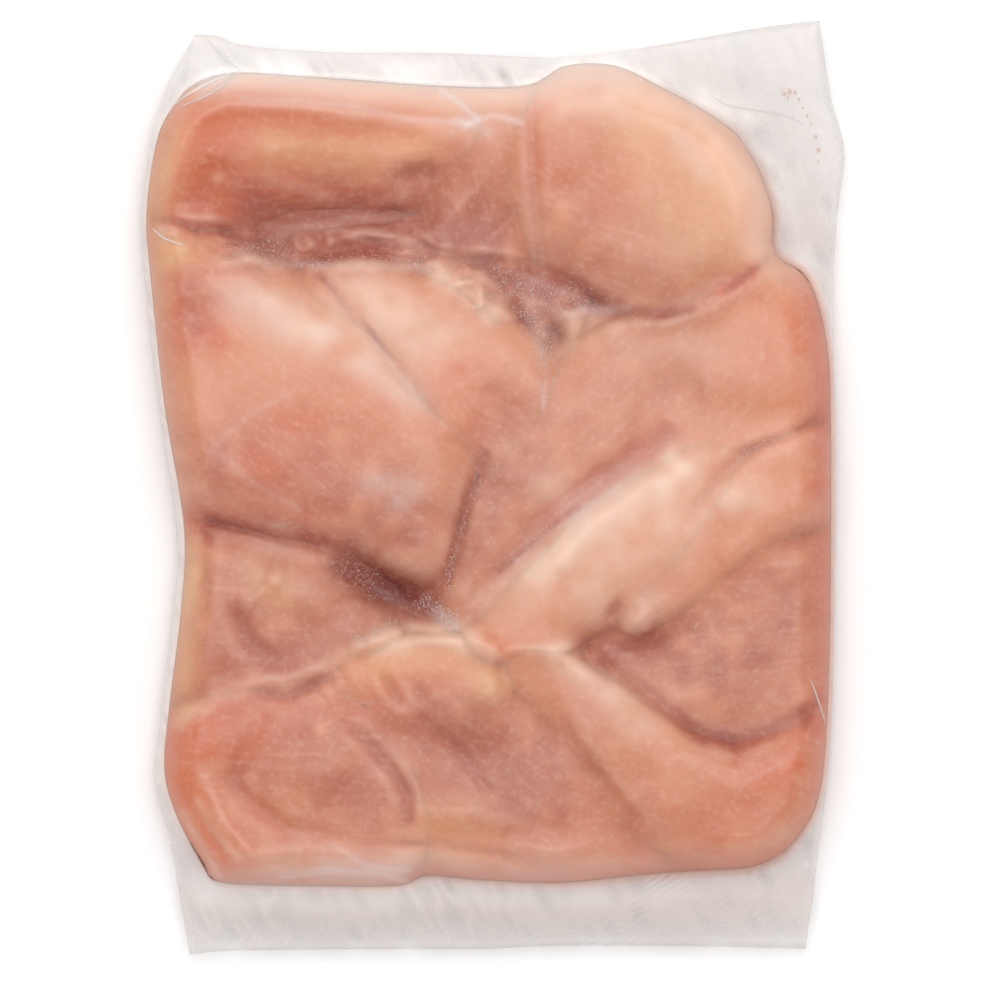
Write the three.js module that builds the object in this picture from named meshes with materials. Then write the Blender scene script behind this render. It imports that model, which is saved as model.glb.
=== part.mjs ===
// A clear vacuum bag of raw chicken breast fillets, lying flat on a table.
//
// Millimetres. +Z is up, +Y points to the bag's top seal, and the origin is on the table
// under the middle of the bag. The bag is one closed solid. Its top is the film drawn down
// over the fillets, its underside is pressed flat by the table, and round the block of meat
// the two webs of film are sealed into a thin margin.

import * as THREE from 'three';

// Driving sizes
const SEAM_HEIGHT = 12;            // where the film margin leaves the block of meat
const MARGIN_THICKNESS = 0.9;      // both webs of the margin together
const MARGIN_DROOP = 3.5;          // the margin's outer edge hangs this much lower
const MARGIN_WAVE = 0.8;           // gentle buckling of the margin along its length
const MARGIN_WAVE_LENGTH = 62;
const UNDER_LAYER_HEIGHT = 25;     // top of the fillets that lie underneath
const FILLET_RIM_HEIGHT = 24.5;    // where a fillet of the upper layer ends
const LEAST_RIM_DROP = 6;          // and how far below its crown that is at least
const BEYOND_RIM_DROP = 30;        // past its rim a fillet drops away, this much over this run
const BEYOND_RIM_RUN = 7;
const STATION_BLEND = 4;           // how softly a fillet's sizes change from station to station
const FILLET_ROUNDNESS = 2.3;      // how round and how square a fillet's shoulder is
const FILLET_SQUARENESS = 1.6;
const FOLD_SPREAD = 0.75;          // share of a fold's half width over which it fades
const BLOCK_SHOULDER = 16.5;       // rounding of the block's upper edge
const BLOCK_SQUARENESS = 1.9;
const BLOCK_RISE = 31;             // height of the block's wall and shoulder over the seam
const EDGE_BRIDGE = 8;             // the film spans the creases where it turns down the sides
const EDGE_BRIDGE_WIDTH = 15;
const BASE_ROUND = 13;             // rounding of the block's lower edge
const CREASE_SOFTNESS = 0.9;       // how far the film bridges a crease
const WALL_SOFTNESS = 1.6;         // how softly the top runs into the block's wall
const OUTLINE_POINTS = 70;         // points on each side of the block's outline
const GRADED_STEPS = [1.5, 4.5];   // grid lines close to the block's edge
const GRADED_GAP = 4;              // and the gap from the last of them to the even grid
const BLOCK_WIDTH = 240;           // the grid's graded steps are shares of these
const BLOCK_LENGTH = 290;
const COLUMNS = 54;                // grid cells across the block, and along it
const ROWS = 68;
const MARGIN_RINGS = 2;            // cells across the film margin
const TAUT_ROUNDS = 3;             // how far the film bridges creases of about one cell
const TAUT_PULL = 0.5;
const SMOOTH_PULL = 0.2;
const TAUT_DEPTH = 8;              // the film is drawn taut this far in from the block's edge

// The outline of the block of meat and, opposite each of its points, the outline of the bag.
// Each runs round from the top left corner to the bottom left, the bottom right, the top
// right and back
const BLOCK_SIDES = {
  left: [[-112, 143], [-121, 128], [-125.5, 100], [-124, 76], [-119, 30], [-112, -14], [-113, -44],
    [-117, -77], [-119, -102], [-114.5, -120], [-104.5, -137]],
  bottom: [[-104.5, -137], [-91, -144], [-34, -144], [-5, -142], [24, -143], [74, -138.5], [107, -132]],
  right: [[107, -132], [117, -118], [120, -90], [121.5, -45], [121.5, 15], [120, 50], [113, 75],
    [104, 84], [102, 98], [97, 114], [88, 128]],
  top: [[88, 128], [76, 138], [60, 146], [42, 151.5], [26, 150.5], [11, 145.5], [-16, 145], [-59, 148],
    [-91, 150], [-104, 148], [-112, 143]],
};
const BAG_SIDES = {
  left: [[-108, 164], [-121, 138], [-127, 103], [-126.5, 80], [-121, 30], [-114.5, -16], [-116, -44],
    [-120, -80], [-122.5, -106], [-117, -128], [-110, -169]],
  bottom: [[-110, -169], [-91, -167.5], [-34, -167], [-5, -167], [24, -165.8], [74, -166], [113, -167]],
  right: [[113, -167], [118.5, -125], [122, -92], [123.5, -45], [124, 15], [123, 50], [123.5, 84],
    [125, 103], [127, 122], [122, 142], [118, 169]],
  top: [[118, 169], [97, 166.5], [68, 161.5], [44, 157.5], [26, 155.5], [8, 156], [-18, 157.2], [-59, 157.5],
    [-90, 160], [-100, 163.5], [-108, 164]],
};

// Each fillet is a chain of stations [x, y, half width, crown height], and its shoulder is
// how far in from its edge it still curves
const FILLETS = [
  { shoulder: 22, stations: [[-106, 125, 32, 38], [-70, 125, 32, 37.5], [-34, 127, 29, 36.5],
    [-16, 129, 21, 35.5]] },
  { shoulder: 22, stations: [[-5, 129, 32, 34], [0, 107, 30, 34]] },
  { shoulder: 25, stations: [[44, 116, 42, 39.5], [60, 108, 46, 42]] },
  { shoulder: 25, stations: [[-104, 44, 48, 39.5], [-66, 26, 44, 42], [-36, 5, 35, 41.5],
    [-28, -17, 22, 39]] },
  { shoulder: 18, stations: [[-54, 63, 24, 36], [-25, 51, 30, 38], [0, 31, 30, 37.5], [6, 13, 22, 35.5]] },
  { shoulder: 25, stations: [[90, 48, 40, 40], [60, 31, 40, 38], [33, 13, 37, 37.5], [8, -15, 30, 37],
    [-5, -36, 18, 35.5]] },
  { shoulder: 18, stations: [[74, -2, 22, 40], [42, -25, 26, 41.5], [15, -45, 19, 40], [-1, -55, 12, 38.5]] },
  { shoulder: 18, stations: [[110, -3, 28, 39.5], [89, -15, 27, 40], [67, -33, 22, 38.5],
    [53, -45, 12, 37.5]] },
  { shoulder: 22, stations: [[103, -55, 45, 35.5], [71, -64, 31, 34.5]] },
  { shoulder: 18, stations: [[14, -67, 14, 38], [38, -86, 19, 40.5], [63, -109, 25, 41],
    [90, -113, 31, 41], [110, -101, 25, 40]] },
  { shoulder: 12, stations: [[-39, -69, 14, 36.5], [-18, -65, 16, 40], [-1, -71, 13, 39.5]] },
  { shoulder: 25, stations: [[-19, -91, 38, 35.5], [9, -113, 43, 36.5], [35, -131, 36, 35.5]] },
  { shoulder: 19, stations: [[-95, -109, 38, 38.5], [-66, -107, 39, 39], [-50, -114, 35, 38]] },
  { shoulder: 22, stations: [[-104, -46, 36, 35.5], [-73, -46, 33, 35.5], [-46, -50, 20, 33.5]] },
  { shoulder: 11, stations: [[-118, 85, 14, 36], [-102, 83, 11, 34.5]] },
  { shoulder: 6, stations: [[-16, 77, 9, 36], [-4, 67, 9, 36], [9, 59, 6, 34.5]] },
  { shoulder: 6, stations: [[-66, 89, 9, 32], [-45, 93, 8, 34], [-28, 89, 8, 34], [-15, 81, 7, 34.5]] },
];

// Hollows and ridges along the fillets: [height, half width, path]
const FOLDS = [
  [-5, 20, [[-97, 107], [-63, 105], [-34, 109]]],
  [-3, 16, [[-12, 102], [2, 89]]],
  [-4, 9, [[6, 73], [29, 66]]],
  [-3.5, 8, [[22, 55], [18, 40]]],
  [-3, 9, [[-110, 67], [-109, 51]]],
  [-1.8, 14, [[78, 33], [49, 35]]],
  [1.6, 12, [[38, 8], [24, -5], [9, -23]]],
  [-3, 13, [[67, -26], [42, -44], [24, -55]]],
  [-2.2, 6, [[91, 14], [80, 4], [73, -8], [71, -19]]],
  [-4, 11, [[40, -55], [60, -57], [81, -44]]],
  [-4, 8, [[87, -93], [101, -90], [119, -80]]],
  [-2.5, 12, [[35, -109], [53, -127], [81, -132]]],
  [-2.5, 6, [[18, -73], [29, -93], [45, -111], [60, -125]]],
  [-2.5, 12, [[-23, -89], [-9, -109]]],
  [2, 9, [[-23, -123], [-5, -118], [17, -131]]],
  [-3, 6, [[-55, -78], [-39, -93], [-32, -113], [-30, -127]]],
  [-2, 6, [[-73, -78], [-89, -95], [-88, -111], [-70, -125], [-41, -129]]],
  [-5.5, 14, [[-35, -40], [-54, -30]]],
  [-3.5, 9, [[-97, -15], [-70, -22]]],
  [-2.5, 7, [[-94, -50], [-84, -60], [-73, -73]]],
];

const clamp01 = (value) => THREE.MathUtils.clamp(value, 0, 1);

// Height between 0 and 1 of a rounded shoulder, over the share of its width from its edge
function shoulderCurve(share, roundness, squareness) {
  return (1 - (1 - clamp01(share)) ** roundness) ** (1 / squareness);
}

// The nearest point on a path: its distance, its segment and the share along that segment
function alongSegments(path, x, y) {
  return path.slice(1).map(([x1, y1], segment) => {
    const [x0, y0] = path[segment];
    const run = [x1 - x0, y1 - y0];
    const share = clamp01(((x - x0) * run[0] + (y - y0) * run[1]) / (run[0] ** 2 + run[1] ** 2));
    return { segment, share, distance: Math.hypot(x - x0 - share * run[0], y - y0 - share * run[1]) };
  });
}

const nearestOf = (path, x, y) => Math.min(...alongSegments(path, x, y).map((step) => step.distance));

// Top of one fillet at a point, well below the under layer where the fillet doesn't reach
function filletHeight({ shoulder, stations }, x, y) {
  let depth = -Infinity;
  let weights = 0;
  let halfWidth = 0;
  let crown = 0;
  for (const { segment, share, distance } of alongSegments(stations, x, y)) {
    const [from, to] = [stations[segment], stations[segment + 1]];
    const mix = (index) => THREE.MathUtils.lerp(from[index], to[index], share);
    const weight = (distance + STATION_BLEND) ** -3;
    depth = Math.max(depth, mix(2) - distance);
    weights += weight;
    halfWidth += weight * mix(2);
    crown += weight * mix(3);
  }
  const rim = Math.min(FILLET_RIM_HEIGHT, stations[0][3] - LEAST_RIM_DROP);
  const share = depth / Math.min(shoulder, halfWidth / weights);
  const rise = shoulderCurve(share, FILLET_ROUNDNESS, FILLET_SQUARENESS);
  return rim + (crown / weights - rim) * rise - BEYOND_RIM_DROP * clamp01(-depth / BEYOND_RIM_RUN);
}

// How much the hollows and ridges lift or lower the fillets at a point
function foldHeight(x, y) {
  return FOLDS.reduce((sum, [height, halfWidth, path]) => {
    const fade = nearestOf(path, x, y) / (FOLD_SPREAD * halfWidth);
    return sum + height * Math.exp(-(fade ** 2));
  }, 0);
}

// Soft maximum, which fills the creases between fillets as taut film does
function softMax(heights, softness) {
  const highest = Math.max(...heights);
  const shares = heights.map((height) => Math.exp((height - highest) / softness));
  return highest + softness * Math.log(shares.reduce((sum, share) => sum + share, 0));
}

const softMin = (a, b, softness) => -softMax([-a, -b], softness);

// Top of the film over the block, at a depth in from the block's outline
function blockTop(x, y, depth) {
  const fold = foldHeight(x, y);
  const fillets = FILLETS.map((fillet) => filletHeight(fillet, x, y) + fold);
  const bridge = UNDER_LAYER_HEIGHT + EDGE_BRIDGE * (1 - clamp01(depth / EDGE_BRIDGE_WIDTH));
  const meat = softMax([...fillets, bridge], CREASE_SOFTNESS);
  const rise = shoulderCurve(depth / BLOCK_SHOULDER, FILLET_ROUNDNESS, BLOCK_SQUARENESS);
  return Math.max(softMin(meat, SEAM_HEIGHT + BLOCK_RISE * rise, WALL_SOFTNESS), SEAM_HEIGHT);
}

// Underside of the film, flat on the table with a quarter round up to the seam
function blockBottom(depth) {
  const inward = 1 - clamp01(depth / BASE_ROUND);
  return (SEAM_HEIGHT - MARGIN_THICKNESS) * (1 - Math.sqrt(1 - inward ** 2));
}

// The margin droops outwards and buckles gently along its length
function marginTop(x, y, share) {
  const along = (2 * Math.PI * (x + y)) / MARGIN_WAVE_LENGTH;
  const wave = Math.sin(along) * Math.cos((Math.PI * y) / MARGIN_WAVE_LENGTH);
  return SEAM_HEIGHT - share * MARGIN_DROOP + share * MARGIN_WAVE * wave;
}

// Smooth curves through the points of each side of an outline
function sideCurves(sides) {
  return Object.fromEntries(Object.entries(sides).map(([name, points]) => [
    name, new THREE.SplineCurve(points.map(([x, y]) => new THREE.Vector2(x, y)))]));
}

const bag = sideCurves(BAG_SIDES);
const block = sideCurves(BLOCK_SIDES);
const blockOutline = ['left', 'bottom', 'right', 'top']
  .flatMap((side) => block[side].getSpacedPoints(OUTLINE_POINTS).slice(1).map(({ x, y }) => [x, y]));
blockOutline.push(blockOutline[0]);
const blockDepth = (x, y) => nearestOf(blockOutline, x, y);

// The shares along one direction of the grid, with extra lines close to both ends
function gradedShares(cells, length) {
  const graded = GRADED_STEPS.length;
  const inner = cells - 2 * (graded + 1);
  const first = GRADED_STEPS[graded - 1] + GRADED_GAP;
  const middle = Array.from({ length: inner + 1 }, (_, i) => first + ((length - 2 * first) * i) / inner);
  const ends = [0, ...GRADED_STEPS];
  return [...ends, ...middle, ...ends.map((step) => length - step).reverse()].map((step) => step / length);
}

// Where a grid line of one ring lies: graded round the block, and even along the bag's edge
function ringShare(index, cells, ring, length) {
  const graded = gradedShares(cells + 2 * ring, length);
  const at = THREE.MathUtils.clamp(index + ring, 0, cells + 2 * ring);
  return THREE.MathUtils.lerp(graded[at], at / (cells + 2 * ring), ring / MARGIN_RINGS);
}

// A point inside four sides, from its shares across and up and from how a side is read
function insideSides(sides, across, up, pointAt) {
  const left = pointAt(sides, 'left', 1 - up);
  const right = pointAt(sides, 'right', up);
  const bottom = pointAt(sides, 'bottom', across);
  const top = pointAt(sides, 'top', 1 - across);
  const lower = pointAt(sides, 'left', 1).lerp(pointAt(sides, 'right', 0), across);
  const upper = pointAt(sides, 'left', 0).lerp(pointAt(sides, 'right', 1), across);
  return left.lerp(right, across).add(bottom.lerp(top, up)).sub(lower.lerp(upper, up));
}

// A share of a side of the block by length, and the point of the bag's outline opposite it
const blockPoint = (sides, side, share) => sides[side].getPointAt(share);
const bagPoint = (sides, side, share) => sides[side].getPoint(block[side].getUtoTmapping(share));

// The film is drawn taut: it bridges the narrowest creases, and smooths the steps of the grid
function drawTaut({ points, width, height }, isOpen) {
  for (let round = 0; round < TAUT_ROUNDS; round += 1) {
    const before = points.map((point) => point[2]);
    for (let j = 1; j < height - 1; j += 1) {
      for (let i = 1; i < width - 1; i += 1) {
        const at = j * width + i;
        const mean = (before[at - 1] + before[at + 1] + before[at - width] + before[at + width]) / 4;
        const pull = mean > before[at] ? TAUT_PULL : SMOOTH_PULL;
        if (isOpen(points[at], i, j)) points[at][2] = THREE.MathUtils.lerp(before[at], mean, pull);
      }
    }
  }
}

// One face of the bag as a grid of points: the block's cells and the margin's rings round it
function faceGrid(columns, rows, heightAt) {
  const points = [];
  for (let j = -MARGIN_RINGS; j <= rows + MARGIN_RINGS; j += 1) {
    for (let i = -MARGIN_RINGS; i <= columns + MARGIN_RINGS; i += 1) {
      const ring = Math.max(-i, i - columns, -j, j - rows, 0);
      const share = ring / MARGIN_RINGS;
      const across = ringShare(i, columns, ring, BLOCK_WIDTH);
      const up = ringShare(j, rows, ring, BLOCK_LENGTH);
      const outer = insideSides(bag, across, up, bagPoint);
      const { x, y } = insideSides(block, across, up, blockPoint).lerp(outer, share);
      const insideBlock = i > 0 && i < columns && j > 0 && j < rows;
      points.push([x, y, heightAt(x, y, insideBlock ? blockDepth(x, y) : 0, share)]);
    }
  }
  return { points, width: columns + 2 * MARGIN_RINGS + 1, height: rows + 2 * MARGIN_RINGS + 1 };
}

// Triangles of a grid, each cell split along its shorter diagonal
function gridTriangles({ points, width, height }, first, facingUp) {
  const triangles = [];
  const gap = (a, b) => Math.hypot(...points[a].map((value, axis) => value - points[b][axis]));
  for (let j = 0; j < height - 1; j += 1) {
    for (let i = 0; i < width - 1; i += 1) {
      const [a, b, c, d] = [j * width + i, j * width + i + 1, (j + 1) * width + i + 1, (j + 1) * width + i];
      const pair = gap(a, c) < gap(b, d) ? [[a, b, c], [a, c, d]] : [[a, b, d], [b, c, d]];
      triangles.push(...pair.map((t) => (facingUp ? t : [t[0], t[2], t[1]]).map((index) => index + first)));
    }
  }
  return triangles;
}

// The indices round a grid's edge, counterclockwise from its bottom left corner
function edgeLoop({ width, height }, first) {
  const loop = [];
  for (let i = 0; i < width - 1; i += 1) loop.push(i);
  for (let j = 0; j < height - 1; j += 1) loop.push(j * width + width - 1);
  for (let i = width - 1; i > 0; i -= 1) loop.push((height - 1) * width + i);
  for (let j = height - 1; j > 0; j -= 1) loop.push(j * width);
  return loop.map((index) => index + first);
}

// The bag's edge, from the fine loop of its top to the loop of half as many points below
function edgeTriangles(upper, lower) {
  return lower.flatMap((start, index) => {
    const next = lower[(index + 1) % lower.length];
    const [a, b, c] = [2 * index, 2 * index + 1, (2 * index + 2) % upper.length].map((at) => upper[at]);
    return [[start, b, a], [start, next, b], [next, c, b]];
  });
}

function sealedBagGeometry() {
  const top = faceGrid(COLUMNS, ROWS, (x, y, depth, share) => (
    share > 0 ? marginTop(x, y, share) : blockTop(x, y, depth)));
  const bottom = faceGrid(COLUMNS / 2 - MARGIN_RINGS, ROWS / 2 - MARGIN_RINGS, (x, y, depth, share) => (
    share > 0 ? marginTop(x, y, share) - MARGIN_THICKNESS : blockBottom(depth)));
  drawTaut(top, ([x, y], i, j) => {
    const inBlock = Math.min(i, j, top.width - 1 - i, top.height - 1 - j) > MARGIN_RINGS;
    return inBlock && blockDepth(x, y) > TAUT_DEPTH;
  });
  const first = top.points.length;
  const index = [...gridTriangles(top, 0, true), ...gridTriangles(bottom, first, false),
    ...edgeTriangles(edgeLoop(top, 0), edgeLoop(bottom, first))];
  const positions = [...top.points, ...bottom.points].flat();
  const geometry = new THREE.BufferGeometry();
  geometry.setAttribute('position', new THREE.Float32BufferAttribute(positions, 3));
  geometry.setIndex(index.flat());
  geometry.computeBoundingBox();
  const middle = geometry.boundingBox.getCenter(new THREE.Vector3());
  geometry.translate(-middle.x, -middle.y, 0);
  geometry.computeVertexNormals();
  return geometry;
}

const filmOverMeat = new THREE.MeshStandardMaterial({ color: 0xdba084, roughness: 0.28, metalness: 0 });

const pack = new THREE.Group();
const sealedBag = new THREE.Mesh(sealedBagGeometry(), filmOverMeat);
sealedBag.name = 'sealed_bag';
pack.add(sealedBag);

export default pack;
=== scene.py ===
"""Visual model of a clear vacuum bag of raw chicken breast fillets, lying flat.

The fillets, the juice and froth between them and the film are pieces of their own. Together they stand
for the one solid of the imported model, inside its box. Plan positions and heights are millimetres in the
row's frame: +X across the bag, +Y towards its top seal, +Z up from the table.
"""

import logging
import math
from dataclasses import dataclass, field
from enum import Enum

import bpy
import numpy as np
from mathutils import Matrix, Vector
from mathutils.bvhtree import BVHTree
from numpy.typing import NDArray


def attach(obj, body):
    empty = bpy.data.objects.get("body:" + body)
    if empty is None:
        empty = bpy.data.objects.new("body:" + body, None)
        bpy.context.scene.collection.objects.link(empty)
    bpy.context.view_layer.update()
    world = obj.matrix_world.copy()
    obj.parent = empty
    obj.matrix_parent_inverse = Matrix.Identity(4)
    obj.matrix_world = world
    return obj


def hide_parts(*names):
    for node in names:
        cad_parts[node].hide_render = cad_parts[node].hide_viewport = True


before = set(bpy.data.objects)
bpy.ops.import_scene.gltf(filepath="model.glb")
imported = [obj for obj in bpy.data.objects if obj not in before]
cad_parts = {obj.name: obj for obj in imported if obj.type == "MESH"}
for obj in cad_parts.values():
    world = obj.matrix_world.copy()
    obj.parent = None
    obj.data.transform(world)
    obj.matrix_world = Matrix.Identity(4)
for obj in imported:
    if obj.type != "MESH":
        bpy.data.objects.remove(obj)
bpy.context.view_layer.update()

Array = NDArray[np.float64]
Indices = NDArray[np.int64]
Path = tuple[tuple[float, float], ...]
Colour = tuple[float, float, float]
Place = tuple[float, float, float]
Span = tuple[float, float, float, float]
Node = bpy.types.Node
Socket = bpy.types.NodeSocket
Piece = bpy.types.Object

LOG = logging.getLogger("chicken_pack")
MM = 0.001
BODY = "root"
NODE = "sealed_bag"

# The block of meat and the film's margin round it.
BLOCK_TOP = 41.9
BLOCK_SHOULDER = 13.0
BASE_ROUND = 13.0
SEAM_HEIGHT = 12.0
MEAT_SEAM = 11.4
MARGIN_THICKNESS = 0.9
MARGIN_DROOP = 3.5
MARGIN_WAVE = 0.8
MARGIN_WAVE_LENGTH = 62.0
PLAN_SHIFT = (0.214, 0.0, 0.0)

# How finely curves are followed, and how the grids share out the block.
OUTLINE_STEPS = 64
LENGTH_STEPS = 401
BLOCK_WIDTH = 240.0
BLOCK_LENGTH = 290.0
FIRST_CELL = 0.9
JUST_INSIDE = 1.001
BLUR_PASSES = 3
SMALLEST_LENGTH = 1e-9

# The curves of a fillet's shoulder and of the block's edge.
FILLET_ROUNDNESS = 2.3
FILLET_SQUARENESS = 1.6
EDGE_SQUARENESS = 1.9
FILLET_RIM_HEIGHT = 24.5
FILLET_RIM_DROP = 6.0
STATION_BLEND = 4.0
STATION_POWER = -3.0
OUTSIDE_FALL = 30.0
OUTSIDE_REACH = 9.0

# How a fold fades at its ends and across.
FOLD_END = 0.04
FOLD_FADE = 0.6
FOLD_SHARPNESS = 0.75


def linear(part: float) -> float:
    """Turns one part of a screen colour, 0 to 1, into the linear value that shaders take."""
    return part / 12.92 if part <= 0.04045 else ((part + 0.055) / 1.055) ** 2.4


def srgb(red: int, green: int, blue: int) -> Colour:
    """Turns a screen colour, with parts from 0 to 255, into a linear one."""
    return linear(red / 255), linear(green / 255), linear(blue / 255)


class Tint(Enum):
    """The colours painted on the raw chicken: its own colours, and colours that stand in for light and shade.
    """

    FLESH = srgb(214, 146, 111)
    # Orange flesh, which in the top left hollow also stands for painted shade.
    ORANGE = srgb(208, 106, 58)
    # Peach flesh, and painted light on the left edge and on slopes that face the light.
    PEACH = srgb(224, 172, 124)
    # Pale flesh and fibres, and painted highlights on ridges and on slopes that face the light.
    PALE = srgb(234, 198, 176)
    # Painted light: the milky glow along the lit top wall and on the rim of the top right fillet.
    HIGHLIGHT = srgb(249, 207, 184)
    # Mauve flesh, and painted shade in valleys and on slopes that face away from the light.
    MAUVE = srgb(178, 101, 76)
    # Painted shade: the dark red-brown laid in creases, hollows and on the sides of fillets under their
    # neighbours.
    CREASE = srgb(153, 60, 40)
    # Painted deep shade, in the darkest pits and in the hollows under the edges of fillets.
    DEEP_SHADE = srgb(112, 24, 18)
    # The meat's redder edge, partly its own colour and partly painted shade on sides facing away from the
    # light and in hollows.
    RIM = srgb(204, 104, 72)


class SideName(Enum):
    """The sides of an outline, in the order in which they run round."""

    LEFT = "left"
    BOTTOM = "bottom"
    RIGHT = "right"
    TOP = "top"


def rounded_share(share: Array, roundness: float, squareness: float) -> Array:
    """Gives the height of a shoulder, from 0 to 1, at shares of its width, by the powers of its curve."""
    return (1 - (1 - np.clip(share, 0, 1)) ** roundness) ** (1 / squareness)


def round_shoulder(distance: Array, width: float) -> Array:
    """Gives the height of a quarter round shoulder of this width, from 0 to 1."""
    return rounded_share(distance / width, 2, 2)


def edge_rise(depth: Array) -> Array:
    """Gives the share of its full height that the block reaches at a depth inside its outline."""
    return rounded_share(depth / BLOCK_SHOULDER, FILLET_ROUNDNESS, EDGE_SQUARENESS)


def falloff(distance: Array, reach: float) -> Array:
    """Gives 1 at no distance, which falls softly to almost nothing at twice the reach."""
    return np.exp(-((distance / reach) ** 2))


def soft_max(stack: Array, softness: float) -> Array:
    """Gives the highest of the stacked height fields, rounded where they meet."""
    top = stack.max(axis=0)
    return top + softness * np.log(np.exp((stack - top) / softness).sum(axis=0))


def soft_min(first: Array, second: Array, softness: float) -> Array:
    """Gives the lower of two height fields, rounded where they meet."""
    return -soft_max(np.stack([-first, -second]), softness)


def along_segments(path: Path, x: Array, y: Array) -> list[tuple[int, Array, Array]]:
    """Finds the nearest point of every segment of a path.

    Args:
        path: The path's points.
        x: Plan positions.
        y: Plan positions.

    Returns:
        For each segment its number, the share along it and the distance to it.
    """
    found = []
    for number, (start, end) in enumerate(zip(path, path[1:])):
        run = (end[0] - start[0], end[1] - start[1])
        ahead = (x - start[0]) * run[0] + (y - start[1]) * run[1]
        share = np.clip(ahead / (run[0] ** 2 + run[1] ** 2), 0, 1)
        found.append((number, share, np.hypot(x - start[0] - share * run[0], y - start[1] - share * run[1])))
    return found


def path_distance(path: Path, x: Array, y: Array) -> Array:
    """Gives the distance from plan positions to a path."""
    return np.minimum.reduce([distance for _, _, distance in along_segments(path, x, y)])


def path_progress(path: Path, x: Array, y: Array) -> tuple[Array, Array]:
    """Gives how far along a path its nearest point lies, and the distance to it.

    Args:
        path: The path's points.
        x: Plan positions.
        y: Plan positions.

    Returns:
        The share of the path's length, and the distances.
    """
    lengths = [math.dist(a, b) for a, b in zip(path, path[1:])]
    best = np.full(np.shape(x), np.inf)
    share_of_path = np.zeros(np.shape(x))
    before = 0.0
    for number, share, distance in along_segments(path, x, y):
        closer = distance < best
        best = np.where(closer, distance, best)
        share_of_path = np.where(closer, before + share * lengths[number], share_of_path)
        before += lengths[number]
    return share_of_path / before, best


def spline_points(points: Array, at: Array) -> Array:
    """Evaluates the smooth curve through points.

    Args:
        points: The points that the curve passes, one in each row.
        at: Places along the curve, from 0 to 1.

    Returns:
        The curve's points, with one more axis than the places.
    """
    last = len(points) - 1
    place = np.clip(at, 0, 1) * last
    start = np.minimum(np.floor(place).astype(int), last - 1)
    t = (place - start)[..., None]
    before, after = np.maximum(start - 1, 0), np.minimum(start + 2, last)
    p1, p2 = points[start], points[start + 1]
    v1, v2 = (p2 - points[before]) / 2, (points[after] - p1) / 2
    return (2 * p1 - 2 * p2 + v1 + v2) * t**3 + (3 * p2 - 3 * p1 - 2 * v1 - v2) * t**2 + v1 * t + p1


class SoftNoise:
    """Smooth seeded noise over the plan."""

    def __init__(self, seed: int, cell: float, size: int = 96) -> None:
        """Draws the noise's values.

        Args:
            seed: Fixes the draw.
            cell: The size of one bump in millimetres.
            size: The number of bumps each way before the noise repeats.
        """
        self.cell = cell
        self.size = size
        self.values = np.random.default_rng(seed).standard_normal((self.size, self.size))

    def at(self, x: Array, y: Array) -> Array:
        """Gives the noise at plan positions.

        Args:
            x: Plan positions.
            y: Plan positions.

        Returns:
            Values of about -1 to 1.
        """
        u, v = x / self.cell + self.size / 2, y / self.cell + self.size / 2
        i, j = np.floor(u).astype(int), np.floor(v).astype(int)
        s, t = u - i, v - j
        s, t = s * s * (3 - 2 * s), t * t * (3 - 2 * t)
        low = self._drawn(i, j) * (1 - s) + self._drawn(i + 1, j) * s
        high = self._drawn(i, j + 1) * (1 - s) + self._drawn(i + 1, j + 1) * s
        return low * (1 - t) + high * t

    def _drawn(self, i: Indices, j: Indices) -> Array:
        """Gives the drawn values of whole cells, which repeat over the plan."""
        return self.values[j % self.size, i % self.size]


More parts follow.
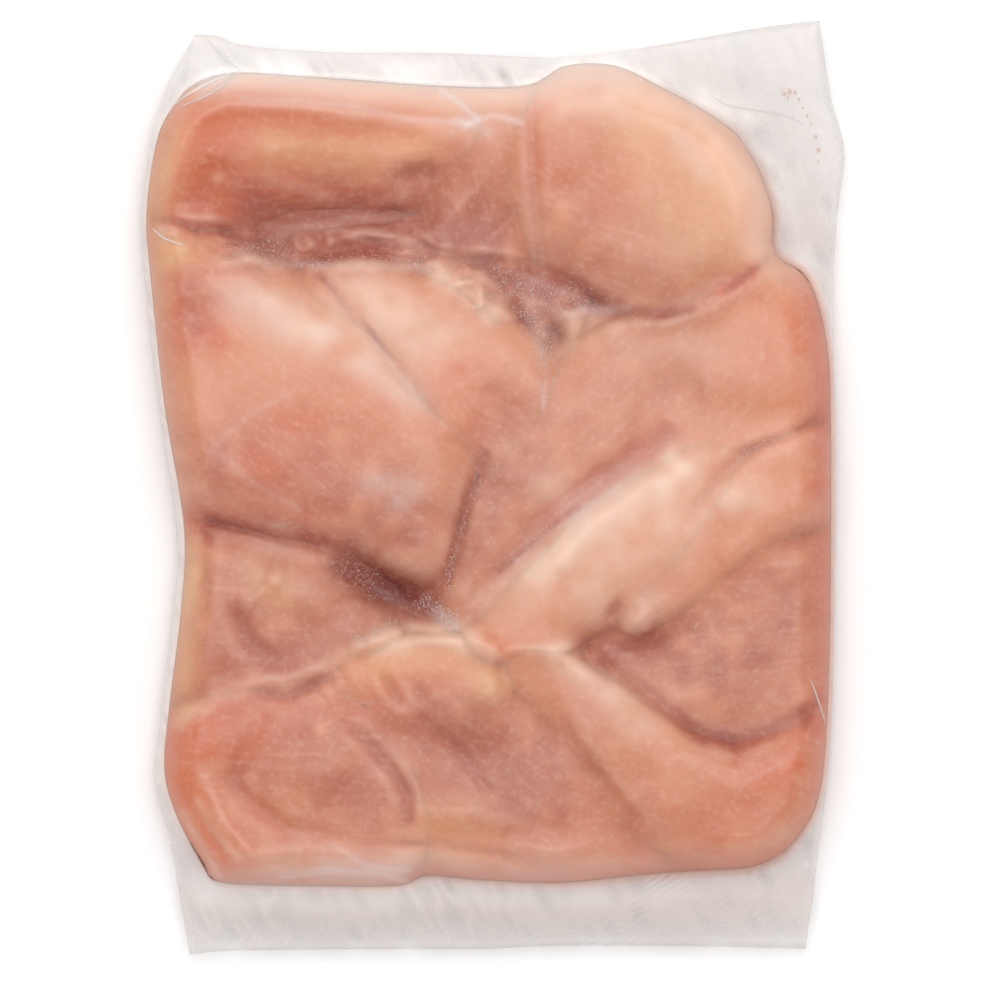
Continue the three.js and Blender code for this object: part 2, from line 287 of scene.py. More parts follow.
@dataclass(frozen=True)
class FourSides:
    """A closed outline of four smooth sides, counterclockwise from its top left corner."""

    left: Path
    bottom: Path
    right: Path
    top: Path

    def points(self, side: SideName) -> Array:
        """Gives the points that a side passes, one in each row."""
        return np.array(getattr(self, side.value))

    def length_shares(self, side: SideName, shares: Array) -> Array:
        """Turns shares of a side's length into places in its curve's own parameter.

        Args:
            side: The side.
            shares: Shares of its length.

        Returns:
            The places, from 0 to 1.
        """
        at = np.linspace(0, 1, LENGTH_STEPS)
        steps = np.linalg.norm(np.diff(spline_points(self.points(side), at), axis=0), axis=1)
        run = np.concatenate([[0], np.cumsum(steps)])
        return np.interp(shares, run / run[-1], at)

    def on_side(self, side: SideName, shares: Array, opposite: "FourSides | None" = None) -> Array:
        """Gives points at shares of a side's length, or where another outline's side has those shares."""
        return spline_points(self.points(side), (opposite or self).length_shares(side, shares))

    def inside(self, across: Array, up: Array, opposite: "FourSides | None" = None) -> Array:
        """Gives points inside the outline, which follow its sides.

        Args:
            across: Shares from the left side to the right one.
            up: Shares from the bottom side to the top one.
            opposite: The outline that shares out the sides' lengths.

        Returns:
            The points.
        """
        ends = np.array([0.0, 1.0])
        left = self.on_side(SideName.LEFT, 1 - up, opposite)
        right = self.on_side(SideName.RIGHT, up, opposite)
        bottom = self.on_side(SideName.BOTTOM, across, opposite)
        top = self.on_side(SideName.TOP, 1 - across, opposite)
        left_ends = self.on_side(SideName.LEFT, ends, opposite)
        right_ends = self.on_side(SideName.RIGHT, ends, opposite)
        s, t = across[..., None], up[..., None]
        low = left_ends[1] * (1 - s) + right_ends[0] * s
        high = left_ends[0] * (1 - s) + right_ends[1] * s
        corners = low * (1 - t) + high * t
        return left * (1 - s) + right * s + bottom * (1 - t) + top * t - corners

    def trace(self, steps: int = OUTLINE_STEPS) -> Array:
        """Gives evenly spaced points right round the outline.

        Args:
            steps: The number of steps on each side.

        Returns:
            The points, with the first one repeated at the end.
        """
        shares = np.linspace(0, 1, steps, endpoint=False)
        loop = np.concatenate([self.on_side(side, shares) for side in SideName])
        return np.concatenate([loop, loop[:1]])

    def inset(self, distance: float, steps: int = 48) -> "FourSides":
        """Gives the outline drawn in by a distance.

        Args:
            distance: How far in.
            steps: The number of points on each side of the new outline, less one.

        Returns:
            The smaller outline.
        """
        loop = self.trace(steps)[:-1]
        along = np.roll(loop, -1, axis=0) - np.roll(loop, 1, axis=0)
        inward = np.stack([-along[:, 1], along[:, 0]], axis=1) / np.linalg.norm(along, axis=1)[:, None]
        moved = loop + distance * inward
        runs = (range(side * steps, (side + 1) * steps + 1) for side in range(len(SideName)))
        parts = (np.take(moved, run, axis=0, mode="wrap") for run in runs)
        return FourSides(*(tuple(map(tuple, part)) for part in parts))

    def depth(self, x: Array, y: Array) -> Array:
        """Gives the distance from plan positions to the outline.

        Args:
            x: Plan positions.
            y: Plan positions.

        Returns:
            The distances, with no sign.
        """
        loop = self.trace()
        best = np.full(np.shape(x), np.inf)
        for start, end in zip(loop, loop[1:]):
            run = end - start
            ahead = (x - start[0]) * run[0] + (y - start[1]) * run[1]
            share = np.clip(ahead / (run @ run), 0, 1)
            gap_x, gap_y = x - start[0] - share * run[0], y - start[1] - share * run[1]
            best = np.minimum(best, gap_x**2 + gap_y**2)
        return np.sqrt(best)


BLOCK_OUTLINE = FourSides(
    left=((-112, 143), (-121, 128), (-125.5, 100), (-124, 76), (-119, 30), (-112, -14), (-113, -44),
          (-117, -77), (-119, -102), (-114, -120), (-104.5, -137)),
    bottom=((-104.5, -137), (-98, -143), (-64, -144.2), (-34, -144), (-24, -140.5), (-5, -142), (24, -143),
            (54, -140), (76, -138.5), (94, -137), (105.5, -131.5)),
    right=((105.5, -131.5), (112.5, -123), (117.5, -112), (120.3, -90), (121.8, -45), (122, 15), (120.8, 50),
           (114, 75), (102, 84.5), (101.2, 98), (96.5, 114), (88, 128)),
    top=((88, 128), (76, 136.5), (61, 144.5), (44, 152.5), (26, 152.5), (12, 145.5), (-16, 145), (-59, 148),
         (-91, 150), (-104, 148), (-112, 143)),
)
BAG_OUTLINE = FourSides(
    left=((-108, 164), (-121, 138), (-127, 103), (-126.5, 80), (-121, 30), (-114.5, -16), (-116, -44),
          (-120, -80), (-122.5, -106), (-117, -128), (-110, -169)),
    bottom=((-110, -169), (-91, -167.5), (-34, -167), (-5, -167), (24, -165.8), (74, -166), (113, -167)),
    right=((113, -167), (118.5, -125), (122, -92), (123.5, -45), (124, 15), (123, 50), (123.5, 84),
           (125, 103), (127, 122), (122, 142), (118, 169)),
    top=((118, 169), (97, 166.5), (68, 161.5), (44, 157.5), (26, 155.5), (8, 156), (-18, 157.2),
         (-59, 157.5), (-90, 160), (-100, 163.5), (-108, 164)),
)


@dataclass(frozen=True)
class Fillet:
    """A fillet, or a lobe or flap of one, as a chain of stations with a rounded shoulder.

    A station gives a plan position, the fillet's half width there and the height of its crown.
    """

    name: str
    shoulder: float
    stations: tuple[tuple[float, float, float, float], ...]

    @property
    def path(self) -> Path:
        """Gives the plan positions of the stations."""
        return tuple((x, y) for x, y, _, _ in self.stations)

    def height(self, x: Array, y: Array, rim: float = FILLET_RIM_HEIGHT) -> Array:
        """Gives the fillet's top, which falls away outside it.

        Args:
            x: Plan positions.
            y: Plan positions.
            rim: The height at the fillet's edge.

        Returns:
            The heights.
        """
        depth, weights, half_width, crown = -np.inf, 0.0, 0.0, 0.0
        for number, share, distance in along_segments(self.path, x, y):
            (first_width, first_crown), (last_width, last_crown) = (
                station[2:] for station in self.stations[number:number + 2])
            width = first_width + (last_width - first_width) * share
            weight = (distance + STATION_BLEND) ** STATION_POWER
            depth = np.maximum(depth, width - distance)
            weights = weights + weight
            half_width = half_width + weight * width
            crown = crown + weight * (first_crown + (last_crown - first_crown) * share)
        low = min(rim, self.stations[0][-1] - FILLET_RIM_DROP)
        share = depth / np.minimum(self.shoulder, half_width / weights)
        rise = rounded_share(share, FILLET_ROUNDNESS, FILLET_SQUARENESS)
        return low + (crown / weights - low) * rise - OUTSIDE_FALL * np.clip(-depth / OUTSIDE_REACH, 0, 1)

    def fibre(self, x: Array, y: Array) -> tuple[Array, Array]:
        """Gives coordinates that follow the muscle's fibres.

        Args:
            x: Plan positions.
            y: Plan positions.

        Returns:
            Millimetres along the fillet, and across it from its middle line.
        """
        (x0, y0), (x1, y1) = self.path[0], self.path[-1]
        length = math.hypot(x1 - x0, y1 - y0)
        ux, uy = (x1 - x0) / length, (y1 - y0) / length
        return (x - x0) * ux + (y - y0) * uy, (y - y0) * ux - (x - x0) * uy


UPPER_FILLETS = (
    Fillet("fillet_top_left", 22,
           ((-106, 125, 32, 38), (-70, 125, 32, 37.5), (-34, 127, 29, 36.5), (-16, 129, 21, 35.5))),
    Fillet("fillet_top_middle", 22, ((-5, 129, 32, 34), (0, 107, 30, 34))),
    Fillet("fillet_top_right", 25, ((42, 114, 43, 39.5), (60, 106, 46, 42))),
    Fillet("fillet_left", 25,
           ((-104, 41, 51, 39.5), (-66, 25, 45, 42), (-36, 5, 35, 41.5), (-28, -17, 21, 39))),
    Fillet("fillet_middle", 18,
           ((-54, 63, 24, 36), (-25, 51, 30, 38), (0, 31, 30, 37.5), (6, 13, 22, 35.5))),
    Fillet("fillet_right", 25,
           ((90, 46, 37, 40), (60, 30, 35, 38), (33, 13, 36, 37.5), (8, -15, 30, 37), (-5, -36, 18, 35.5))),
    Fillet("fillet_diagonal", 19,
           ((75, 2, 22, 39.5), (43, -24, 26, 41.3), (16, -44, 19, 40), (0, -55, 12, 38))),
    Fillet("fillet_right_lobe", 16,
           ((114, 4, 20, 39.5), (93, -5, 20, 40), (77, -19, 18, 39), (62, -36, 14, 38.5),
            (52, -46, 10, 37.5))),
    Fillet("fillet_lower_right", 22, ((103, -55, 45, 35.5), (71, -64, 31, 34.5), (48, -60, 15, 32))),
    Fillet("fillet_corner_right", 18,
           ((14, -67, 13, 38), (38, -86, 19, 40.5), (63, -109, 25, 41), (88, -118, 27, 41),
            (110, -108, 26, 40))),
    Fillet("fat_lobe", 14,
           ((-46, -70, 13, 36), (-30, -68, 15, 38), (-16, -67, 15, 39), (-1, -72, 12, 38.5))),
    Fillet("fillet_centre", 25, ((-19, -91, 38, 36.8), (9, -113, 43, 37), (35, -131, 36, 35.5))),
    Fillet("fillet_corner_left", 19, ((-95, -109, 37, 38.5), (-66, -107, 39, 39), (-50, -114, 35, 38))),
    Fillet("fillet_lower_left", 22, ((-104, -46, 33, 35.5), (-73, -47, 29, 35.5), (-48, -53, 15, 33.5))),
    Fillet("fat_nub", 11, ((-118, 84, 13, 36), (-106, 80, 10, 35))),
    Fillet("membrane", 9, ((-20, 77, 8, 34.5), (-8, 72, 10, 35.5), (2, 62, 8, 35))),
    Fillet("flap_crumpled", 14,
           ((-88, 90, 9, 29), (-60, 90, 13, 30), (-36, 89, 12, 30.5), (-18, 88, 9, 31.5))),
    Fillet("hollow_upper", 9, ((4, 75, 11, 31), (24, 67, 11, 31), (21, 50, 8, 31))),
    Fillet("hollow_lower", 9, ((-56, -27, 8, 31), (-38, -37, 9, 29), (-20, -45, 9, 30))),
)

LOWER_FILLETS = (
    Fillet("under_fillet_top", 22, ((-90, 118, 45, 26), (-10, 116, 48, 26), (70, 106, 45, 26))),
    Fillet("under_fillet_left", 22, ((-95, 50, 45, 26), (-70, -30, 48, 26), (-60, -60, 40, 26))),
    Fillet("under_fillet_middle", 22, ((-20, 60, 45, 26), (5, -10, 42, 26), (0, -50, 36, 26))),
    Fillet("under_fillet_right", 22, ((90, 50, 42, 26), (80, -40, 46, 26), (85, -70, 40, 26))),
    Fillet("under_fillet_corner_left", 22, ((-95, -118, 42, 26), (-40, -112, 44, 26))),
    Fillet("under_fillet_corner_right", 22, ((90, -112, 40, 26), (20, -110, 42, 26))),
)


@dataclass(frozen=True)
class Fold:
    """A hollow or a ridge along a path on the meat."""

    height: float
    half_width: float
    path: Path

    def lift(self, x: Array, y: Array) -> Array:
        """Gives how much the fold lifts or lowers the meat.

        Args:
            x: Plan positions.
            y: Plan positions.

        Returns:
            The changes in height.
        """
        share, distance = path_progress(self.path, x, y)
        fade = np.sin(math.pi * np.clip(share, FOLD_END, 1 - FOLD_END)) ** FOLD_FADE
        return self.height * fade * falloff(distance, FOLD_SHARPNESS * self.half_width)


MEAT_FOLDS = tuple(Fold(height, half_width, tuple(path)) for height, half_width, *path in (
    (-8, 16, (-104, 102), (-63, 100), (-30, 104)),
    (-2, 9, (-100, 120), (-104, 104)),
    (1.8, 5, (-118, 100), (-117, 118), (-110, 131), (-96, 138.5), (-63, 136.5), (-30, 131), (-16, 127)),
    (-3, 5, (-34, 113), (-20, 115)),
    (1.2, 5, (-86, 112), (-68, 107), (-54, 103)),
    (-2.5, 4, (-76, 99), (-62, 97), (-54, 98), (-49, 101)),
    (-3, 3.5, (-42, 97), (-33, 100)),
    (6, 7, (-124, 95), (-104, 94), (-90, 92)),
    (-1, 1.8, (-122, 95.5), (-104, 95), (-91, 91)),
    (-2, 6, (-84, 92), (-74, 88)),
    (1.1, 4, (-69, 93), (-55, 94), (-40, 91), (-28, 88)),
    (-3, 4, (-64, 82), (-55, 84), (-46, 88), (-38, 87)),
    (1.0, 1.8, (-70, 88), (-58, 89), (-48, 92), (-38, 91)),
    (0.9, 1.6, (-42, 86), (-33, 84), (-27, 86)),
    (-1.0, 1.8, (-30, 92), (-24, 87), (-20, 82)),
    (0.8, 1.6, (-26, 90), (-20, 87), (-12, 87)),
    (0.8, 1.6, (-98, 80), (-90, 83), (-82, 81)),
    (0.9, 1.8, (-20, 76), (-12, 72), (-5, 66), (-2, 60)),
    (-0.8, 1.5, (-16, 74), (-8, 68), (-4, 60)),
    (2.2, 4.5, (-76, 79), (-50, 80), (-30, 82), (-20, 80)),
    (-3, 14, (-10, 104), (2, 92)),
    (1.2, 3, (-22, 80), (-17, 84), (-6, 85.5), (8, 84), (24, 78)),
    (-1.2, 3.5, (13, 143), (14, 111), (17, 78)),
    (-3, 6, (-4, 81), (12, 76), (28, 69), (44, 65)),
    (-4, 5, (20, 60), (22, 55), (20, 48)),
    (1.2, 3, (22, 63), (34, 64), (46, 63)),
    (1.0, 2.5, (-18, 72), (-10, 74), (-4, 68)),
    (-1.2, 2.5, (-14, 78), (-6, 75), (0, 68)),
    (3.5, 7, (34, 60), (46, 61), (62, 61), (78, 66), (92, 75)),
    (4, 9, (24, 50), (36, 58), (48, 62)),
    (4, 8, (92, 76), (102, 82), (110, 84)),
    (2, 3.5, (-60, 74), (-46, 58), (-34, 42), (-22, 27), (-12, 16)),
    (-1.2, 2.5, (40, 66), (50, 63), (60, 62), (76, 65)),
    (-0.8, 2.2, (84, 71), (90, 75), (97, 80)),
    (-2, 8, (-109, 70), (-108, 52)),
    (1.2, 5, (-108, -15), (-92, -14), (-76, -16), (-60, -21)),
    (-6, 8, (-54, -28), (-38, -36), (-26, -41)),
    (-2.5, 3, (-3, 12), (-9, -4), (-13, -20), (-17, -34)),
    (-1.8, 14, (78, 33), (49, 35)),
    (-1.2, 7, (60, 28), (50, 12), (38, 0)),
    (1.4, 6, (68, 10), (52, -2), (34, -14), (14, -32)),
    (-2.5, 7, (-4, -38), (8, -24), (24, -8), (40, 4), (56, 14), (68, 23)),
    (-2, 12, (67, -26), (42, -44), (24, -55)),
    (-1.8, 3.5, (97, 16), (88, 10), (80, 2), (73, -7), (69, -16)),
    (4, 8, (78, 12), (92, 14), (104, 18), (120, 26)),
    (-1, 2.2, (88, 13), (104, 18), (120, 26)),
    (1.2, 7, (92, -2), (80, -10)),
    (1.6, 8, (50, -50), (57, -42)),
    (-2.5, 3, (41, -47), (46, -40)),
    (-2.5, 8, (34, -57), (46, -60), (60, -56), (76, -44)),
    (5, 5, (2, -59), (15, -58), (35, -60)),
    (5, 8, (18, -58), (29, -62), (42, -68)),
    (8, 6, (-48, -57), (-30, -52), (-12, -53), (4, -62)),
    (1.5, 9, (72, -40), (90, -24), (112, -10)),
    (-1.8, 3.5, (34, -60), (46, -66), (62, -79), (76, -90), (88, -93), (100, -88), (112, -81), (119, -73)),
    (2, 6, (12, -61), (26, -59), (42, -70), (58, -83), (72, -95)),
    (-2.5, 4, (21, -78), (31, -94), (45, -112), (56, -124)),
    (-2.5, 12, (35, -109), (53, -127), (81, -132)),
    (-2, 10, (-23, -86), (-9, -98), (8, -98)),
    (-1.8, 3, (-25, -83), (-12, -95), (-3, -108), (1, -113)),
    (-1.2, 3, (2, -60), (3, -76)),
    (-1.8, 3, (-41, -66), (-33, -78)),
    (-1.5, 3, (-28, -70), (-24, -77)),
    (-1.5, 8, (16, -80), (18, -100)),
    (1.5, 7, (-24, -119), (-8, -117), (8, -122)),
    (-1.5, 3, (-22, -128), (2, -132), (24, -139)),
    (1.2, 4, (2, -128), (22, -131), (38, -128)),
    (-2.5, 3.5, (-52, -84), (-44, -93), (-36, -102), (-31, -111), (-30, -120)),
    (-2, 2.5, (-37, -128), (-24, -128.5)),
    (-2.5, 5, (-83, -82), (-89, -95), (-94, -105), (-88, -113), (-75, -122), (-55, -126)),
    (-2, 3, (-109, -111), (-101, -125), (-92, -138)),
    (1.3, 3, (-104, -104), (-97, -120), (-87, -132), (-70, -131)),
    (1.5, 12, (-66, -96), (-54, -108)),
    (4, 6, (-114, -84), (-100, -75), (-84, -71), (-70, -68.5), (-58, -64), (-46, -57)),
    (4, 7, (-62, -74), (-54, -68)),
    (-2, 2.2, (-86, -74), (-74, -75.5), (-66, -72), (-59, -67)),
    (2.5, 8, (-46, -80), (-24, -80), (0, -81)),
    (-3, 5, (-93, -44), (-88, -55), (-76, -65)),
    (1.8, 8, (-82, -30), (-74, -34)),
    (1.2, 6, (-92, -38), (-86, -44)),
    (-1.5, 3, (-102, -14), (-104, -30), (-103, -48)),
))
CRUMPLED_PATH = ((-98, 85), (-76, 87), (-50, 90), (-26, 86), (-8, 72), (6, 64))


@dataclass(frozen=True)
class Stroke:
    """A soft stroke along a path, strongest on it. On the film it makes the film milky, as its own haze and
    as painted highlights over the meat.
    """

    strength: float
    half_width: float
    path: Path

    def mask(self, x: Array, y: Array) -> Array:
        """Gives the stroke's strength at plan positions."""
        return self.strength * falloff(path_distance(self.path, x, y), self.half_width)


@dataclass(frozen=True)
class TintStroke(Stroke):
    """A stroke of colour on the meat; many stand for painted light and shade."""

    tint: Tint


# Strokes of the meat's own colours, and of painted light and shade: mauve, red rim and dark crease strokes in
# hollows,
# creases and on sides facing away from the light are painted shade; pale, peach and milky strokes on ridges,
# rims and
# lit slopes are painted highlights and light; orange strokes are its own colour, and in the top left hollow
# painted shade.
TINT_STROKES = tuple(TintStroke(strength, width, tuple(path), tint) for tint, strength, width, *path in (
    (Tint.MAUVE, 0.45, 45, (-100, -80), (-40, -100), (20, -110)),
    (Tint.MAUVE, 0.55, 22, (-100, -35), (-60, -50)),
    (Tint.RIM, 0.6, 24, (-102, 122), (-70, 114), (-40, 110)),
    (Tint.CREASE, 0.35, 16, (-104, 106), (-60, 106), (-30, 108)),
    (Tint.MAUVE, 0.4, 22, (26, 120), (36, 98), (58, 84)),
    (Tint.MAUVE, 0.5, 9, (2, 26), (4, 2)),
    (Tint.RIM, 0.75, 10, (-106, 80), (-96, 74)),
    (Tint.RIM, 0.8, 7, (113, 76), (119, 46), (120, 0)),
    (Tint.RIM, 0.4, 8, (120, -10), (119, -78)),
    (Tint.RIM, 0.7, 4, (-122, 95), (-100, 95), (-88, 92)),
    (Tint.ORANGE, 0.3, 9, (-104, -82), (-70, -74), (-50, -66), (-20, -74)),
    (Tint.ORANGE, 0.8, 5, (-119, -98), (-115, -116), (-105, -133), (-97, -142)),
    (Tint.RIM, 0.45, 5, (22, -9), (38, 3), (54, 13), (64, 21)),
    (Tint.MAUVE, 0.4, 6, (-14, -30), (-10, -40)),
    (Tint.PALE, 0.7, 5, (-42, -54), (-26, -51), (-10, -53), (2, -61)),
    (Tint.PALE, 0.25, 14, (56, 52), (84, 50), (104, 48)),
    (Tint.PALE, 0.5, 6, (-112, 138), (-100, 146), (-90, 147)),
    (Tint.PALE, 0.3, 5, (-70, 133), (-40, 130), (-10, 127)),
    (Tint.PALE, 0.7, 6, (98, 80), (108, 80)),
    (Tint.PALE, 0.55, 10, (66, 142), (84, 128), (98, 106), (100, 90)),
    (Tint.MAUVE, 0.35, 12, (-104, 118), (-90, 114)),
    (Tint.MAUVE, 0.55, 10, (-28, 102), (-14, 96), (-4, 90)),
    (Tint.MAUVE, 0.5, 15, (-96, -86), (-80, -88), (-62, -90)),
    (Tint.CREASE, 0.35, 10, (-92, -96), (-84, -108)),
    (Tint.MAUVE, 0.4, 10, (-84, -124), (-68, -126)),
    (Tint.MAUVE, 0.3, 14, (104, -26), (108, -56)),
    (Tint.MAUVE, 0.35, 12, (36, -86), (52, -98)),
    (Tint.PALE, 0.6, 7, (-30, -134), (-14, -136)),
    (Tint.MAUVE, 0.35, 12, (-12, -104), (16, -106)),
    (Tint.PEACH, 0.5, 8, (20, 150), (36, 152), (52, 147)),
    (Tint.MAUVE, 0.75, 17, (-98, 4), (-60, -3), (-30, -14)),
    (Tint.PALE, 0.5, 8, (-95, -139), (-40, -140), (30, -139), (80, -135), (104, -128)),
    (Tint.RIM, 0.3, 4, (-95, -142), (-40, -142), (30, -141), (80, -137), (104, -130)),
    (Tint.MAUVE, 0.35, 14, (28, 112), (48, 98), (66, 86)),
    (Tint.MAUVE, 0.4, 6, (50, 58), (70, 60), (94, 73)),
    (Tint.PALE, 0.3, 6, (28, 54), (38, 60), (48, 61)),
    (Tint.MAUVE, 0.3, 18, (20, 15), (50, 34), (76, 38)),
    (Tint.PALE, 0.4, 8, (98, 92), (100, 106), (92, 122)),
    (Tint.PALE, 0.35, 7, (24, 148), (44, 149), (66, 141)),
    (Tint.PEACH, 0.5, 22, (60, 124), (74, 105), (72, 88)),
    (Tint.PEACH, 0.95, 7, (-114, 134), (-119, 124), (-121, 112), (-122, 98)),
    (Tint.PEACH, 0.5, 10, (-22, -118), (-4, -120)),
    (Tint.PEACH, 0.4, 14, (50, -95), (66, -105)),
    (Tint.PEACH, 0.6, 7, (-85, -32), (-76, -38)),
    (Tint.PALE, 0.5, 7, (-98, 144), (-60, 143), (-20, 140), (5, 139)),
    (Tint.MAUVE, 0.5, 5, (2, -28), (20, -11), (36, 2), (54, 13), (64, 20)),
    (Tint.PALE, 0.9, 8, (14, -31), (30, -16), (45, -6), (60, 2), (68, 8)),
    (Tint.PALE, 0.4, 10, (70, -14), (50, -26), (34, -38)),
    (Tint.PALE, 0.6, 12, (-44, 68), (-34, 56), (-20, 48)),
    (Tint.PALE, 0.6, 9, (-98, 72), (-82, 64), (-64, 56)),
    (Tint.PALE, 0.5, 5, (-50, 45), (-28, 31)),
    (Tint.PALE, 0.5, 7, (18, 0), (24, -3)),
    (Tint.PALE, 0.6, 7, (92, -4), (86, -6)),
    (Tint.PALE, 0.7, 6, (24, -60), (40, -71), (56, -84)),
    (Tint.PALE, 0.35, 7, (52, -48), (56, -43)),
    (Tint.PALE, 0.4, 5, (38, 142), (46, 136)),
    (Tint.ORANGE, 1.0, 11, (-108, 131), (-92, 132), (-70, 130)),
    (Tint.ORANGE, 0.5, 24, (-102, 120), (-60, 118), (-35, 118)),
    (Tint.ORANGE, 0.8, 8, (-106, 128), (-107, 112), (-108, 98)),
    (Tint.ORANGE, 0.5, 8, (-92, 129), (-66, 126), (-40, 122)),
    (Tint.PEACH, 0.4, 9, (-80, 121), (-50, 116), (-40, 112)),
    (Tint.MAUVE, 0.4, 11, (30, 86), (50, 76), (76, 75)),
    (Tint.ORANGE, 0.7, 10, (-108, 104), (-100, 99)),
    (Tint.RIM, 0.35, 16, (-100, 112), (-70, 108), (-45, 106)),
    (Tint.ORANGE, 0.75, 6, (-76, 22), (-64, 24)),
    (Tint.ORANGE, 0.8, 4.5, (-87, 11), (-82, 8)),
    (Tint.ORANGE, 0.35, 22, (-80, 10), (-50, 20)),
    (Tint.ORANGE, 0.5, 12, (-14, 40), (-4, 26)),
    (Tint.ORANGE, 0.5, 8, (-106, 64), (-96, 54)),
    (Tint.ORANGE, 0.55, 12, (92, -111), (104, -106), (114, -97)),
    (Tint.ORANGE, 0.6, 6, (117, -84), (113, -92)),
    (Tint.ORANGE, 0.65, 9, (-111, -88), (-112, -104), (-103, -122), (-94, -134)),
    (Tint.ORANGE, 0.7, 6, (-101, -84), (-100, -94)),
    (Tint.ORANGE, 0.45, 7, (112, 70), (114, 52)),
    (Tint.ORANGE, 0.5, 8, (74, -134), (88, -133)),
    (Tint.ORANGE, 0.9, 4, (-2, -56), (5, -59)),
    (Tint.ORANGE, 0.4, 8, (17, 138), (17, 116)),
    (Tint.ORANGE, 0.35, 14, (28, 116), (40, 108)),
    (Tint.ORANGE, 0.4, 18, (104, 40), (100, 60)),
    (Tint.ORANGE, 0.2, 12, (96, -12), (84, -24)),
    (Tint.ORANGE, 0.4, 12, (-56, -70), (-46, -82)),
    (Tint.ORANGE, 0.4, 18, (62, -106), (84, -118)),
    (Tint.RIM, 0.5, 4, (60, -78), (76, -90), (88, -93), (100, -88), (116, -80)),
    (Tint.ORANGE, 0.2, 40, (-95, -100), (-50, -100), (0, -105), (50, -125)),
    (Tint.PEACH, 0.9, 7, (-118, 85), (-108, 81)),
    (Tint.ORANGE, 0.6, 4, (-106, 77), (-100, 78)),
    (Tint.PEACH, 0.8, 9, (-36, -64), (-18, -62), (-4, -70)),
    (Tint.ORANGE, 0.35, 9, (-34, -70), (-16, -66)),
    (Tint.PALE, 0.5, 3, (-42, -59), (-28, -55.5), (-14, -56), (-5, -62)),
    (Tint.MAUVE, 0.4, 11, (-90, 103), (-62, 100), (-40, 102)),
    (Tint.RIM, 0.6, 9, (-108, 100), (-76, 100), (-40, 100)),
    (Tint.CREASE, 0.5, 3, (-118, 95.5), (-100, 95), (-90, 92)),
    (Tint.CREASE, 0.5, 3.5, (-86, 103), (-70, 97), (-50, 98)),
    (Tint.MAUVE, 0.6, 14, (-8, 108), (2, 95)),
    (Tint.CREASE, 0.7, 4, (-33, 113), (-22, 114.5)),
    (Tint.CREASE, 0.7, 3, (-56, 98), (-48, 100)),
    (Tint.CREASE, 0.9, 2.5, (-38, 98), (-33, 99.5)),
    (Tint.CREASE, 0.7, 3.5, (-98, 92), (-90, 90)),
    (Tint.MAUVE, 0.8, 6, (-84, 92), (-74, 88)),
    (Tint.MAUVE, 0.9, 10, (-80, 88), (-50, 88), (-20, 90)),
    (Tint.CREASE, 0.75, 9, (-82, 91), (-50, 93), (-8, 91)),
    (Tint.PALE, 0.15, 3, (-68, 94), (-46, 93), (-30, 89), (-23, 84)),
    (Tint.PALE, 0.3, 2.2, (-98, 80), (-90, 83), (-82, 81), (-72, 80)),
    (Tint.PALE, 0.3, 2.4, (-24, 79), (-12, 72), (-5, 66), (-2, 60)),
    (Tint.CREASE, 0.5, 1.6, (-62, 76), (-46, 58), (-34, 43), (-20, 25)),
    (Tint.CREASE, 0.7, 1.4, (2, -30), (12, -22), (22, -13), (30, -7)),
    (Tint.CREASE, 0.7, 4, (-62, 83), (-48, 86), (-38, 86)),
    (Tint.CREASE, 0.5, 3.5, (-84, 96), (-60, 97), (-40, 98)),
    (Tint.MAUVE, 0.5, 11, (-28, 108), (-14, 94)),
    (Tint.RIM, 0.6, 10, (-108, 72), (-110, 56)),
    (Tint.CREASE, 0.25, 7, (-108, 71), (-109, 58)),
    (Tint.CREASE, 0.6, 3, (60, -79), (76, -89), (88, -92), (100, -87), (112, -80)),
    (Tint.RIM, 0.6, 7, (92, -98), (104, -94), (116, -88)),
    (Tint.CREASE, 0.6, 3, (112, -84), (118, -76)),
    (Tint.MAUVE, 0.6, 7, (-2, 6), (-8, -14), (-12, -26)),
    (Tint.CREASE, 0.6, 2.2, (-3, 12), (-9, -4), (-13, -20), (-16, -32)),
    (Tint.MAUVE, 0.7, 20, (66, -60), (90, -66), (104, -50)),
    (Tint.MAUVE, 0.3, 22, (56, -112), (84, -116), (104, -104)),
    (Tint.CREASE, 0.6, 6, (40, -61), (48, -59), (58, -54)),
    (Tint.CREASE, 0.5, 3, (-92, -46), (-88, -55), (-78, -63)),
    (Tint.MAUVE, 0.5, 10, (-100, -50), (-92, -62)),
    (Tint.MAUVE, 0.9, 18, (-20, -86), (6, -104)),
    (Tint.CREASE, 0.2, 14, (-10, -96), (10, -106)),
    (Tint.MAUVE, 0.5, 13, (-60, -102), (-45, -114)),
    (Tint.ORANGE, 0.5, 5, (-84, -86), (-93, -100), (-90, -112), (-78, -121)),
    (Tint.CREASE, 0.3, 3, (-92, -100), (-91, -109)),
    (Tint.MAUVE, 0.9, 9, (2, 77), (18, 70), (34, 66)),
    (Tint.CREASE, 0.5, 9, (4, 76), (18, 70), (32, 65)),
    (Tint.CREASE, 0.6, 3.5, (-2, 81), (18, 75), (34, 69), (42, 66)),
    (Tint.PALE, 0.5, 5, (-18, 76), (-8, 71), (0, 64)),
    (Tint.CREASE, 0.5, 3, (46, 64), (58, 62), (70, 63.5)),
    (Tint.RIM, 0.8, 3, (83, 71), (95, 79)),
    (Tint.CREASE, 0.4, 1.5, (84, 71), (95, 79)),
    (Tint.MAUVE, 0.5, 7, (-106, -70), (-84, -63), (-66, -60), (-52, -50)),
    (Tint.RIM, 0.4, 7, (-104, -86), (-84, -80), (-66, -79)),
    (Tint.PALE, 0.4, 3, (-112, -83), (-100, -75), (-84, -70.5), (-70, -68), (-58, -62), (-46, -55)),
    (Tint.CREASE, 0.7, 2.2, (-84, -74), (-72, -75), (-60, -68)),
